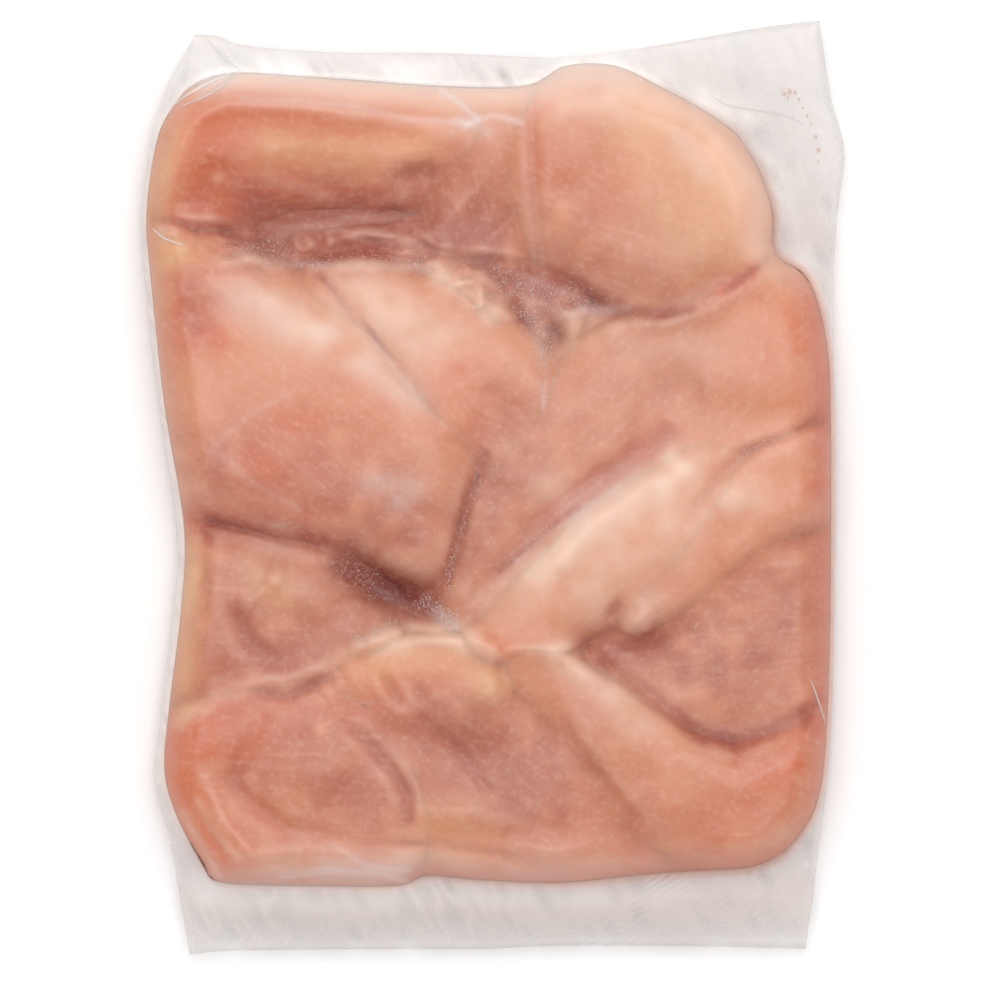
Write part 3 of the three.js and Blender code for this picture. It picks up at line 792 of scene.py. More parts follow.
    (Tint.CREASE, 0.4, 3, (-50, -86), (-38, -99), (-31, -109), (-30, -118)),
    (Tint.PEACH, 0.35, 9, (-60, -70), (-48, -64)),
    (Tint.RIM, 0.6, 6, (-107, -14), (-96, -13)),
    (Tint.MAUVE, 0.3, 12, (-96, -30), (-72, -34), (-50, -42)),
    (Tint.RIM, 0.5, 8, (-102, -12), (-80, -11), (-60, -16)),
    (Tint.CREASE, 0.6, 4, (-102, -14), (-80, -13), (-60, -19)),
    (Tint.CREASE, 1.0, 7, (-54, -27), (-38, -36), (-26, -40)),
    (Tint.MAUVE, 0.4, 7, (-104, -60), (-84, -64), (-62, -58), (-46, -48)),
    (Tint.PEACH, 0.8, 6, (-110, -22), (-111, -50), (-113, -78)),
    (Tint.CREASE, 0.7, 3, (-102, -13), (-102, -18)),
    (Tint.CREASE, 0.3, 2.5, (90, 14), (104, 18), (117, 26)),
    (Tint.MAUVE, 0.4, 9, (118, -14), (100, -32), (84, -42)),
    (Tint.CREASE, 0.4, 8, (-112, 100), (-92, 100)),
    (Tint.CREASE, 0.28, 15, (-102, 120), (-80, 122), (-54, 114)),
    (Tint.CREASE, 0.3, 7, (-76, 90), (-50, 94), (-20, 90)),
    (Tint.CREASE, 0.4, 8, (-98, -58), (-84, -63), (-68, -66)),
    (Tint.CREASE, 0.22, 9, (-106, 74), (-98, 70)),
    (Tint.CREASE, 0.5, 5, (40, -61), (50, -59)),
    (Tint.CREASE, 0.3, 7, (10, 73), (26, 68)),
    (Tint.MAUVE, 0.5, 13, (4, 30), (9, 5), (-4, -25)),
    (Tint.MAUVE, 0.2, 16, (-96, -82), (-74, -84), (-50, -92), (-34, -100)),
    (Tint.ORANGE, 0.15, 22, (-102, -86), (-72, -95)),
    (Tint.MAUVE, 0.3, 16, (-60, -84), (-30, -104), (8, -104)),
    (Tint.ORANGE, 0.15, 14, (-96, -66), (-64, -72), (-24, -70)),
    (Tint.ORANGE, 0.5, 12, (-110, 130), (-90, 127)),
    (Tint.ORANGE, 0.45, 7, (-114, 101), (-98, 101)),
    (Tint.ORANGE, 0.15, 9, (-78, 96), (-30, 94)),
    (Tint.PEACH, 0.4, 8, (-80, 124), (-52, 121), (-26, 124)),
    (Tint.ORANGE, 0.3, 6, (-108, 134), (-86, 134), (-60, 131), (-30, 128)),
    (Tint.ORANGE, 0.35, 6, (-112, 116), (-108, 132)),
    (Tint.PEACH, 0.4, 5, (-120, 98), (-118, 112), (-113, 128)),
    (Tint.ORANGE, 0.3, 6, (-88, 10), (-78, 7)),
    (Tint.MAUVE, 0.15, 16, (30, 40), (44, 30), (50, 46)),
    (Tint.ORANGE, 0.35, 4, (-124, 96), (-122, 84)),
    (Tint.ORANGE, 0.35, 5, (-62, -137), (-34, -138)),
    (Tint.ORANGE, 0.35, 5, (-117, -108), (-111, -124), (-103, -139)),
    (Tint.RIM, 0.45, 5, (22, -10), (38, 2), (54, 13)),
    (Tint.PEACH, 0.5, 6, (20, 149), (34, 151), (46, 149)),
    (Tint.PEACH, 0.5, 5, (28, 53), (36, 60)),
    (Tint.PALE, 0.45, 1.6, (-112, -117), (-106, -128), (-99, -140)),
    (Tint.PALE, 0.35, 2.0, (-106, -113), (-101, -123), (-92, -133)),
    (Tint.RIM, 0.4, 1.6, (-109, -114), (-104, -125), (-96, -138)),
    (Tint.MAUVE, 0.3, 20, (-90, 12), (-60, 12), (-30, 4)),
    (Tint.ORANGE, 0.5, 6, (98, -104), (106, -98)),
    (Tint.HIGHLIGHT, 0.4, 8, (22, 138), (44, 143), (64, 136), (82, 120), (94, 104), (98, 88), (108, 79)),
    (Tint.PALE, 0.4, 6, (0, -42), (8, -36)),
    (Tint.PALE, 0.3, 5, (-84, -19), (-74, -21)),
))
# Painted deep shade, laid last over all the other colours.
DEEP_SHADE_STROKES = tuple(TintStroke(strength, width, tuple(path), tint) for tint, strength, width, *path in (
    (Tint.DEEP_SHADE, 0.55, 3.5, (21, 57), (25, 54)),
    (Tint.DEEP_SHADE, 0.3, 9, (-52, -28), (-24, -42)),
    (Tint.DEEP_SHADE, 0.85, 6, (-39, -36), (-30, -40)),
    (Tint.DEEP_SHADE, 0.15, 7, (-80, 95), (-60, 98), (-36, 97)),
))


def graded_shares(cells: int, length: float, steps: tuple[float, ...]) -> Array:
    """Shares out a length in cells that are finer at both ends.

    Args:
        cells: The number of cells.
        length: The length.
        steps: The places of the fine lines near an end, from the end.

    Returns:
        The lines' places as shares of the length.
    """
    if not steps:
        return np.linspace(0, 1, cells + 1)
    pitch = length / cells
    first = steps[-1] + FIRST_CELL * pitch
    middle = np.linspace(first, length - first, cells - 2 * (len(steps) + 1) + 1)
    ends = np.array([0.0, *steps])
    return np.concatenate([ends, middle, (length - ends)[::-1]]) / length


@dataclass
class Lattice:
    """A grid of plan positions that follows an outline, with rings out to a wider one."""

    outline: FourSides
    columns: int
    rows: int
    steps: tuple[float, ...] = ()
    rings: int = 0
    outer: FourSides | None = None
    x: Array = field(init=False)
    y: Array = field(init=False)
    out: Array = field(init=False)

    def __post_init__(self) -> None:
        """Places the grid's points."""
        across_lines = np.arange(-self.rings, self.columns + self.rings + 1)
        up_lines = np.arange(-self.rings, self.rows + self.rings + 1)
        i, j = np.meshgrid(across_lines, up_lines)
        ring = np.maximum.reduce([-i, i - self.columns, -j, j - self.rows, np.zeros_like(i)])
        points = np.zeros((*i.shape, 2))
        for number in range(self.rings + 1):
            here = ring == number
            out = number / max(self.rings, 1)
            across = self._shares(i[here], self.columns, number, BLOCK_WIDTH, out)
            up = self._shares(j[here], self.rows, number, BLOCK_LENGTH, out)
            points[here] = self.outline.inside(across, up)
            if number:
                points[here] += (self.outer.inside(across, up, self.outline) - points[here]) * out
        self.x, self.y = points[..., 0], points[..., 1]
        self.out = ring / max(self.rings, 1)

    def _shares(self, index: Indices, cells: int, number: int, length: float, out: float) -> Array:
        """Gives the shares of one ring's lines, graded at the outline and even at the outer one.

        Args:
            index: The lines' numbers, from the outline's own first line.
            cells: The number of cells across the outline.
            number: The ring's number.
            length: The outline's length that way.
            out: How far out the ring lies, from 0 to 1.

        Returns:
            The shares, from 0 to 1.
        """
        wide = cells + 2 * number
        at = np.clip(index + number, 0, wide)
        graded = graded_shares(wide, length, self.steps)[at]
        return graded + (at / wide - graded) * out

    @property
    def shape(self) -> tuple[int, int]:
        """Gives the number of rows and columns of points."""
        return self.x.shape

    def triangles(self) -> Indices:
        """Gives the triangles of the grid, with the diagonal turned in every other cell.

        Returns:
            The triangles, facing up.
        """
        height, width = self.shape
        corner = np.arange(height - 1)[:, None] * width + np.arange(width - 1)[None, :]
        a, b, c, d = corner, corner + 1, corner + width + 1, corner + width
        even = (np.add.outer(np.arange(height - 1), np.arange(width - 1)) % 2 == 0)[..., None]
        first = np.where(even, np.stack([a, b, c], -1), np.stack([a, b, d], -1))
        second = np.where(even, np.stack([a, c, d], -1), np.stack([b, c, d], -1))
        return np.concatenate([first.reshape(-1, 3), second.reshape(-1, 3)])


@dataclass
class PlanPatch:
    """The part of a lattice where a field is positive, cut along the line where it is zero.

    Each point lies between the lattice's points a and b, at a share of the way.
    """

    a: Indices
    b: Indices
    share: Array
    triangles: Indices

    @classmethod
    def cut(cls, lattice: Lattice, inside: Array) -> "PlanPatch":
        """Cuts a lattice.

        Args:
            lattice: The lattice.
            inside: The field, positive inside, at the lattice's points.

        Returns:
            The patch.
        """
        value = inside.ravel()
        triangles = lattice.triangles()
        count = (value[triangles] > 0).sum(axis=1)
        size = len(value)
        faces = [triangles[count == 3]]
        p, q, r = cls._odd_first(triangles[count == 1], value, True).T
        faces.append(np.stack([p, cls._crossing(p, q, size), cls._crossing(p, r, size)], 1))
        p, q, r = cls._odd_first(triangles[count == 2], value, False).T
        faces.append(np.stack([cls._crossing(p, q, size), q, r], 1))
        faces.append(np.stack([cls._crossing(p, q, size), r, cls._crossing(p, r, size)], 1))
        names, index = np.unique(np.concatenate(faces), return_inverse=True)
        on_edge = names >= size
        a = np.where(on_edge, (names - size) // size, names)
        b = np.where(on_edge, (names - size) % size, names)
        gap = value[a] - value[b]
        share = np.where(on_edge, value[a] / np.where(gap == 0, 1, gap), 0.0)
        return cls(a, b, share, index.reshape(-1, 3))

    @staticmethod
    def _crossing(p: Indices, q: Indices, size: int) -> Indices:
        """Numbers the points where the cut crosses edges, the same from both sides of an edge."""
        return np.minimum(p, q) * size + np.maximum(p, q) + size

    @staticmethod
    def _odd_first(triangles: Indices, value: Array, odd_inside: bool) -> Indices:
        """Turns triangles so that the point that differs from the other two comes first."""
        place = np.argmax((value[triangles] > 0) == odd_inside, axis=1)
        return np.take_along_axis(triangles, (place[:, None] + np.arange(3)) % 3, axis=1)

    def carry(self, values: Array) -> Array:
        """Gives a lattice field at the patch's points."""
        flat = values.ravel()
        return flat[self.a] * (1 - self.share) + flat[self.b] * self.share

    def border(self) -> Indices:
        """Gives the patch's border.

        Returns:
            Its edges, each running counterclockwise round it.
        """
        edges = np.concatenate([self.triangles[:, pair] for pair in ([0, 1], [1, 2], [2, 0])])
        size = len(self.a)
        forward, backward = edges[:, 0] * size + edges[:, 1], edges[:, 1] * size + edges[:, 0]
        return edges[~np.isin(forward, backward)]


def make_object(name: str, vertices: Array, faces: Indices, attributes: dict[str, Array]) -> Piece:
    """Makes a smooth-shaded mesh object from triangles.

    Args:
        name: The object's name.
        vertices: The points in millimetres, one in each row.
        faces: The triangles.
        attributes: Values for the vertices, by name: one column is a number, three a vector.

    Returns:
        The object, linked to the scene.
    """
    mesh = bpy.data.meshes.new(name)
    mesh.vertices.add(len(vertices))
    mesh.vertices.foreach_set("co", ((vertices + PLAN_SHIFT) * MM).astype(np.float32).ravel())
    mesh.loops.add(faces.size)
    mesh.loops.foreach_set("vertex_index", faces.astype(np.int32).ravel())
    mesh.polygons.add(len(faces))
    mesh.polygons.foreach_set("loop_start", np.arange(0, faces.size, 3, dtype=np.int32))
    mesh.update(calc_edges=True)
    mesh.polygons.foreach_set("use_smooth", np.ones(len(faces), dtype=bool))
    for title, values in attributes.items():
        kind, slot = ("FLOAT", "value") if values.ndim == 1 else ("FLOAT_VECTOR", "vector")
        mesh.attributes.new(title, kind, "POINT").data.foreach_set(slot, values.astype(np.float32).ravel())
    mesh.validate()
    piece = bpy.data.objects.new(name, mesh)
    bpy.context.scene.collection.objects.link(piece)
    return piece


class PlanGrid:
    """A regular grid over the pack, for fields that are blurred or relaxed."""

    def __init__(self, step: float = 1.0, half_width: float = 132.0, half_length: float = 174.0) -> None:
        """Places the grid.

        Args:
            step: The distance between its points in millimetres.
            half_width: How far it reaches to the left and the right.
            half_length: How far it reaches up and down.
        """
        self.step = step
        self.x0, self.y0 = -half_width, -half_length
        columns = np.arange(self.x0, half_width + step / 2, step)
        rows = np.arange(self.y0, half_length + step / 2, step)
        self.x, self.y = np.meshgrid(columns, rows)

    def sample(self, values: Array, x: Array, y: Array) -> Array:
        """Gives a field of the grid at other plan positions.

        Args:
            values: The field.
            x: Plan positions.
            y: Plan positions.

        Returns:
            The field there.
        """
        height, width = values.shape
        u = np.clip((x - self.x0) / self.step, 0, width - JUST_INSIDE)
        v = np.clip((y - self.y0) / self.step, 0, height - JUST_INSIDE)
        i, j = np.floor(u).astype(int), np.floor(v).astype(int)
        s, t = u - i, v - j
        low = values[j, i] * (1 - s) + values[j, i + 1] * s
        high = values[j + 1, i] * (1 - s) + values[j + 1, i + 1] * s
        return low * (1 - t) + high * t

    def blur(self, values: Array, radius: float) -> Array:
        """Averages a field over its surroundings.

        Args:
            values: The field.
            radius: The reach in millimetres.

        Returns:
            The smoother field.
        """
        reach = max(1, round(radius / self.step / 2))
        for _ in range(BLUR_PASSES):
            for axis in (0, 1):
                values = self._box_blur(values, reach, axis)
        return values

    @staticmethod
    def _box_blur(values: Array, reach: int, axis: int) -> Array:
        """Averages a field along one axis.

        Args:
            values: The field.
            reach: The number of cells to each side.
            axis: The axis.

        Returns:
            The averages.
        """
        pads = [(reach + 1, reach) if axis == a else (0, 0) for a in (0, 1)]
        total = np.cumsum(np.pad(values, pads, mode="edge"), axis=axis)
        span = 2 * reach + 1
        count = values.shape[axis]
        upper = np.take(total, np.arange(span, span + count), axis)
        lower = np.take(total, np.arange(0, count), axis)
        return (upper - lower) / span


@dataclass(frozen=True)
class HollowShading:
    """A tint that grows with how hollow the surface of the meat is, as painted shade in hollows and as a
    painted highlight on ridges.
    """

    tint: Tint
    strength: float
    start: float
    reach: float

    def mask(self, hollow: Array) -> Array:
        """Gives the tint's strength where the surface lies this much below its surroundings."""
        return self.strength * np.clip((hollow - self.start) / self.reach, 0, 1)


# Painted shade in wide and deep hollows and in fine creases, and a painted highlight on fine ridges.
WIDE_HOLLOW_SHADE = HollowShading(Tint.MAUVE, 0.55, 0.0, 4.5)
DEEP_HOLLOW_SHADE = HollowShading(Tint.CREASE, 0.5, 4.0, 4.0)
FINE_HOLLOW_SHADE = HollowShading(Tint.CREASE, 0.5, 0.2, 1.8)
FINE_RIDGE_HIGHLIGHT = HollowShading(Tint.PALE, 0.35, 0.0, 1.0)


@dataclass(frozen=True)
class EdgeTints:
    """The red rim of the block, partly its own colour and partly painted shade, and the painted light along
    its top wall.
    """

    rim_reach: float = 5.0
    rim_mean: float = 0.4
    rim_slope: float = 420.0
    rim_limits: tuple[float, float] = (0.12, 0.75)
    wall_light_strength: float = 0.85
    wall_light_reach: float = 8.0
    wall_light_corner: tuple[float, float] = (-122.0, 62.0)
    wall_light_fade: float = 30.0
    wall_light_slope: float = 200.0
    wall_light_least: float = 0.6

    def rim(self, x: Array, y: Array, depth: Array) -> Array:
        """Gives the strength of the rim's red: the meat's own edge colour, with painted shade strongest at
        the lower right.
        """
        strength = np.clip(self.rim_mean + x / self.rim_slope - y / self.rim_slope, *self.rim_limits)
        return strength * falloff(np.maximum(depth, 0), self.rim_reach)

    def wall_light(self, x: Array, y: Array, depth: Array) -> Array:
        """Gives the strength of the painted light along the top wall, which fades towards the right.

        Args:
            x: Plan positions.
            y: Plan positions.
            depth: The depth inside the block's outline.

        Returns:
            Values from 0 to 1.
        """
        up = np.clip((y - self.wall_light_corner[1]) / self.wall_light_fade, 0, 1)
        across = np.clip((x - self.wall_light_corner[0]) / self.wall_light_fade, 0, 1)
        fading = np.clip(1 - x / self.wall_light_slope, self.wall_light_least, 1)
        return self.wall_light_strength * up * across * fading * falloff(np.maximum(depth, 0), self.wall_light_reach)


@dataclass
class MeatForm:
    """The heights and colours of the meat, which the fillets, the film and the froth share."""

    meat_inset: float = 0.2
    joint_softness: float = 1.8
    top_softness: float = 1.0
    lump_height: float = 0.35
    lump_cell: float = 13.0
    grain_height: float = 0.08
    grain_cell: float = 4.2
    crumple_height: float = 1.1
    crumple_width: float = 9.0
    crumple_cell: float = 5.0
    crumple_level: float = 0.45
    crumple_ways: tuple[tuple[float, float], tuple[float, float]] = ((0.75, 0.3), (-0.2, 1.1))
    under_level: float = 25.0
    edge_bridge: float = 6.0
    edge_bridge_width: float = 15.0
    lower_top: float = 24.5
    lower_crease: float = 3.5
    lower_crease_width: float = 8.0
    lower_lumps: float = 0.8
    fine_reach: float = 5.0
    wide_reach: float = 18.0
    hollow_fade: float = 14.0
    unevenness: float = 0.35
    uneven_scale: float = 2.1
    patchiness: tuple[float, float] = (0.75, 0.5)
    patchy_scale: float = 0.7
    side_shade: float = 0.5
    side_height: float = 4.0
    side_depth: float = 6.0
    edges: EdgeTints = EdgeTints()
    seed: int = 11
    grid: PlanGrid = field(default_factory=PlanGrid)

    def __post_init__(self) -> None:
        """Works out the joined surface on the plan grid, and how hollow it is at two scales."""
        self.outline = BLOCK_OUTLINE.inset(self.meat_inset)
        self.lumps = SoftNoise(self.seed, self.lump_cell)
        self.grain = SoftNoise(self.seed + 1, self.grain_cell)
        self.crumples = SoftNoise(self.seed + 2, self.crumple_cell)
        x, y = self.grid.x, self.grid.y
        self.depth_grid = self._signed_depth(x, y)
        self.free_grid = self.free_surface(x, y, self.raw_tops(x, y), self.depth_grid)
        self.top_grid = self.edged(self.free_grid, self.depth_grid)
        fade = round_shoulder(self.depth_grid, self.hollow_fade)
        self.hollow_fine = fade * (self.grid.blur(self.free_grid, self.fine_reach) - self.free_grid)
        self.hollow_wide = fade * (self.grid.blur(self.free_grid, self.wide_reach) - self.free_grid)

    def _signed_depth(self, x: Array, y: Array) -> Array:
        """Gives the depth inside the block's outline.

        Args:
            x: Plan positions.
            y: Plan positions.

        Returns:
            The depths, negative outside the outline.
        """
        depth = BLOCK_OUTLINE.depth(x, y)
        loop = BLOCK_OUTLINE.trace()
        winding = np.zeros(x.shape, bool)
        for (x0, y0), (x1, y1) in zip(loop, loop[1:]):
            crosses = (y0 > y) != (y1 > y)
            rise = y1 - y0 if y1 != y0 else 1.0
            winding ^= crosses & (x < (x1 - x0) * (y - y0) / rise + x0)
        return np.where(winding, depth, -depth)

    def raw_tops(self, x: Array, y: Array) -> Array:
        """Gives the plain top of each upper fillet, one field for each."""
        return np.stack([fillet.height(x, y) for fillet in UPPER_FILLETS])

    def free_surface(self, x: Array, y: Array, raw: Array, depth: Array) -> Array:
        """Gives the surface that the upper fillets make together, without the block's rounded edge.

        Args:
            x: Plan positions.
            y: Plan positions.
            raw: The plain top of each upper fillet.
            depth: The depth inside the block's outline.

        Returns:
            The heights, with folds, lumps and grain.
        """
        bridge = self.under_level + self.edge_bridge * (1 - np.clip(depth / self.edge_bridge_width, 0, 1))
        joined = soft_max(np.concatenate([raw, bridge[None]]), self.joint_softness)
        joined = joined + sum(fold.lift(x, y) for fold in MEAT_FOLDS)
        joined = joined + self.lump_height * self.lumps.at(x, y) + self.grain_height * self.grain.at(x, y)
        crumpled = falloff(path_distance(CRUMPLED_PATH, x, y), self.crumple_width)
        u, v = (way_x * x + way_y * y for way_x, way_y in self.crumple_ways)
        ridged = self.crumple_level - np.abs(self.crumples.at(u, v))
        joined = joined + self.crumple_height * crumpled * ridged
        return soft_min(joined, np.full_like(joined, BLOCK_TOP), self.top_softness)

    def edged(self, level: Array, depth: Array) -> Array:
        """Rounds a surface down to the seam at the block's outline."""
        return MEAT_SEAM + (level - MEAT_SEAM) * edge_rise(depth - self.meat_inset)

    def lower_share(self, x: Array, y: Array) -> Array:
        """Gives for each lower fillet how far it outreaches the others.

        Args:
            x: Plan positions.
            y: Plan positions.

        Returns:
            Millimetres, negative where another fillet reaches further, one field for each fillet.
        """
        reach = np.stack([fillet.height(x, y, 0.0) for fillet in LOWER_FILLETS])
        rest = np.stack([np.delete(reach, k, axis=0).max(axis=0) for k in range(len(reach))])
        return reach - rest

    def under_top(self, x: Array, y: Array, depth: Array) -> Array:
        """Gives the top of the lower layer of fillets.

        Args:
            x: Plan positions.
            y: Plan positions.
            depth: The depth inside the block's outline.

        Returns:
            The heights.
        """
        beside = np.abs(self.lower_share(x, y)).min(axis=0)
        level = self.lower_top - self.lower_crease * (1 - round_shoulder(beside, self.lower_crease_width))
        return self.edged(level + self.lower_lumps * self.lumps.at(y, x), depth)

    def tone(self, x: Array, y: Array, z: Array) -> Array:
        """Gives the meat's colour from strokes of tint, with painted light and shade from its shape and
        edges.

        Args:
            x: Plan positions.
            y: Plan positions.
            z: Heights.

        Returns:
            Linear colours, one in each row.
        """
        colour = np.tile(np.array(Tint.FLESH.value), (len(x), 1))
        uneven = 1 + self.unevenness * self.lumps.at(self.uneven_scale * x, self.uneven_scale * y)
        laid = [(stroke.tint, (stroke.mask(x, y) * uneven).clip(0, 1)) for stroke in TINT_STROKES]
        fine = self.grid.sample(self.hollow_fine, x, y)
        wide = self.grid.sample(self.hollow_wide, x, y)
        depth = self.grid.sample(self.depth_grid, x, y)
        below = np.clip((self.grid.sample(self.top_grid, x, y) - z) / self.side_height, 0, 1)
        specks = self.grain.at(self.patchy_scale * x, self.patchy_scale * y)
        patchy = np.clip(self.patchiness[0] + self.patchiness[1] * specks, 0, 2)
        # Painted shade in hollows and under overlapping fillets, painted highlights on ridges, painted light
        # on the top wall, and the rim's red, which is partly the meat's own colour.
        painted_shading = (
            (Tint.RIM, self.edges.rim(x, y, depth)),
            (WIDE_HOLLOW_SHADE.tint, WIDE_HOLLOW_SHADE.mask(wide)),
            (FINE_HOLLOW_SHADE.tint, FINE_HOLLOW_SHADE.mask(fine) * patchy),
            (DEEP_HOLLOW_SHADE.tint, DEEP_HOLLOW_SHADE.mask(wide)),
            (FINE_RIDGE_HIGHLIGHT.tint, FINE_RIDGE_HIGHLIGHT.mask(-fine)),
            (Tint.HIGHLIGHT, self.edges.wall_light(x, y, depth)),
            # Painted shade on the sides of pieces, below the joined surface, where neighbours overlap them.
            (Tint.CREASE, self.side_shade * (below * np.clip(depth / self.side_depth, 0, 1))),
        )
        deep_shade = [(stroke.tint, stroke.mask(x, y)) for stroke in DEEP_SHADE_STROKES]
        for tint, mask in (*laid, *painted_shading, *deep_shade):
            colour = colour * (1 - mask[:, None]) + np.array(tint.value) * mask[:, None]
        return colour


@dataclass
class MeatBlock:
    """The two layers of fillets."""

    form: MeatForm
    columns: int = 270
    rows: int = 330
    lower_columns: int = 110
    lower_rows: int = 134
    edge_steps: tuple[float, ...] = (0.15, 0.4, 0.8, 1.3, 2.0, 2.9)
    wall_rows: int = 5
    wall_bulge: float = 0.5
    full_bulge_height: float = 8.0
    deepest_flap: float = 14.0
    thinnest_flap: float = 0.05
    flap_gap: float = 0.15
    layer_gap: float = 0.4
    base_gap: float = 0.45
    base_crease: float = 3.2
    base_crease_width: float = 9.0
    corner_reach: float = 0.6
    corner_width: float = 1.2

    def build(self) -> list[Piece]:
        """Makes every fillet.

        Returns:
            The pieces.
        """
        lattice = Lattice(self.form.outline, self.columns, self.rows, self.edge_steps)
        depth = self.form.meat_inset + self.form.outline.depth(lattice.x, lattice.y)
        raw = self.form.raw_tops(lattice.x, lattice.y)
        top = self.form.edged(self.form.free_surface(lattice.x, lattice.y, raw, depth), depth)
        under = self.form.under_top(lattice.x, lattice.y, depth)
        deepest = np.maximum(under + self.flap_gap, top - self.deepest_flap)
        floor = np.minimum(deepest, top - self.thinnest_flap)
        ranked = np.sort(raw, axis=0)
        corner = self.corner_reach * falloff(ranked[-1] - ranked[-3], self.corner_width)
        pieces = []
        for number, fillet in enumerate(UPPER_FILLETS):
            ahead = raw[number] - np.delete(raw, number, axis=0).max(axis=0)
            inside = np.minimum(ahead + corner, top - under - self.layer_gap)
            pieces.append(self._solid(fillet, lattice, inside, top, floor))
        return pieces + self._lower_layer()

    def _lower_layer(self) -> list[Piece]:
        """Makes the fillets underneath.

        Returns:
            The pieces.
        """
        lattice = Lattice(self.form.outline, self.lower_columns, self.lower_rows, self.edge_steps[1::2])
        depth = self.form.meat_inset + self.form.outline.depth(lattice.x, lattice.y)
        under = self.form.under_top(lattice.x, lattice.y, depth)
        shares = self.form.lower_share(lattice.x, lattice.y)
        base = base_height(depth) + self.base_gap
        pieces = []
        for number, fillet in enumerate(LOWER_FILLETS):
            crease = self.base_crease * (1 - round_shoulder(shares[number], self.base_crease_width))
            pieces.append(self._solid(fillet, lattice, shares[number], under, base + crease))
        return pieces

    def _solid(self, fillet: Fillet, lattice: Lattice, inside: Array, top: Array, bottom: Array) -> Piece:
        """Makes one closed piece between a top and a bottom field.

        Args:
            fillet: The fillet, which names the piece and gives the way of its fibres.
            lattice: The plan positions.
            inside: The field that is positive where the piece is.
            top: The piece's top.
            bottom: The piece's underside.

        Returns:
            The piece.
        """
        patch = PlanPatch.cut(lattice, inside)
        x, y = patch.carry(lattice.x), patch.carry(lattice.y)
        high, low = patch.carry(top), patch.carry(bottom)
        border = patch.border()
        around = np.unique(border)
        place = np.full(len(x), -1)
        place[around] = np.arange(len(around))
        out = self._outward(border, x, y)
        rows = [np.arange(len(x))]
        vertices = [np.stack([x, y, high], 1)]
        fullness = np.clip((high - low)[around] / self.full_bulge_height, 0, 1)
        for row in range(1, self.wall_rows):
            share = row / self.wall_rows
            level = high[around] + (low[around] - high[around]) * share
            bulge = self.wall_bulge * math.sin(math.pi * share) * fullness
            bulged_x, bulged_y = x[around] + out[around, 0] * bulge, y[around] + out[around, 1] * bulge
            vertices.append(np.stack([bulged_x, bulged_y, level], 1))
            start = len(x) + (row - 1) * len(around)
            rows.append(np.where(place >= 0, start + place, 0))
        start = len(x) + (self.wall_rows - 1) * len(around)
        rows.append(start + np.arange(len(x)))
        vertices.append(np.stack([x, y, low], 1))
        faces = [patch.triangles, start + patch.triangles[:, ::-1]]
        for above, below in zip(rows, rows[1:]):
            a, b = above[border[:, 0]], above[border[:, 1]]
            c, d = below[border[:, 0]], below[border[:, 1]]
            faces += [np.stack([a, c, b], 1), np.stack([b, c, d], 1)]
        points = np.concatenate(vertices)
        piece = make_object(fillet.name, points, np.concatenate(faces), self._attributes(fillet, points))
        normals = np.zeros_like(points)
        normals[:len(x)] = self._upward(lattice, top, patch)
        piece.data.normals_split_custom_set_from_vertices(normals)
        return piece

    @staticmethod
    def _upward(lattice: Lattice, top: Array, patch: PlanPatch) -> Array:
        """Gives the normals of the joined surface at a patch's points, so that pieces shade as one.

        Args:
            lattice: The plan positions.
            top: The joined surface's heights.
            patch: The part of the lattice that the piece covers.

        Returns:
            The normals, one in each row.
        """
        points = np.stack([lattice.x, lattice.y, top], -1)
        normal = np.cross(np.gradient(points, axis=1), np.gradient(points, axis=0))
        normal /= np.linalg.norm(normal, axis=-1, keepdims=True)
        return np.stack([patch.carry(normal[..., axis]) for axis in range(3)], 1)

    @staticmethod
    def _outward(border: Indices, x: Array, y: Array) -> Array:
        """Gives the outward plan direction at each border point.

        Args:
            border: The border's edges, each running counterclockwise round the piece.
            x: The piece's plan positions.
            y: The piece's plan positions.

        Returns:
            The directions for all points, which are nothing inside the border.
        """
        along = np.stack([x[border[:, 1]] - x[border[:, 0]], y[border[:, 1]] - y[border[:, 0]]], 1)
        normal = np.stack([along[:, 1], -along[:, 0]], 1)
        total = np.zeros((len(x), 2))
        np.add.at(total, border[:, 0], normal)
        np.add.at(total, border[:, 1], normal)
        return total / np.maximum(np.linalg.norm(total, axis=1), SMALLEST_LENGTH)[:, None]

    def _attributes(self, fillet: Fillet, points: Array) -> dict[str, Array]:
        """Gives the colours of a piece's points and the coordinates of its fibres."""
        fibre = np.stack([*fillet.fibre(points[:, 0], points[:, 1]), points[:, 2]], 1)
        return {"tone": self.form.tone(*points.T), "fibre": fibre * MM}


def base_height(depth: Array) -> Array:
    """Gives the underside of the bag, flat on the table with a quarter round up to the seam."""
    inward = 1 - np.clip(depth / BASE_ROUND, 0, 1)
    return (SEAM_HEIGHT - MARGIN_THICKNESS) * (1 - np.sqrt(1 - inward**2))


@dataclass(frozen=True)
class Pleat:
    """A narrow pleat that stands up from the film, along a path."""

    width: float
    haze_and_highlight: float
    path: Path


FILM_PLEATS = (
    Pleat(1.2, 0.5, ((-91, 151), (-104, 145), (-116.5, 137.5))),
    Pleat(0.9, 0.3, ((-92, 150), (-101, 142), (-113, 137))),
    Pleat(0.9, 0.4, ((-104, 162.5), (-98, 156), (-91.5, 150.5))),
    Pleat(0.9, 0.5, ((-91, 150.3), (-59, 148.3), (-16, 145.3), (9.5, 145))),
    Pleat(0.8, 0.4, ((-123, 93.5), (-118, 89.5), (-111, 87))),
    Pleat(0.7, 0.35, ((114, -69), (117, -77), (120, -86))),
    Pleat(0.8, 0.3, ((80, 141), (86, 138), (104, 135), (113, 131))),
)
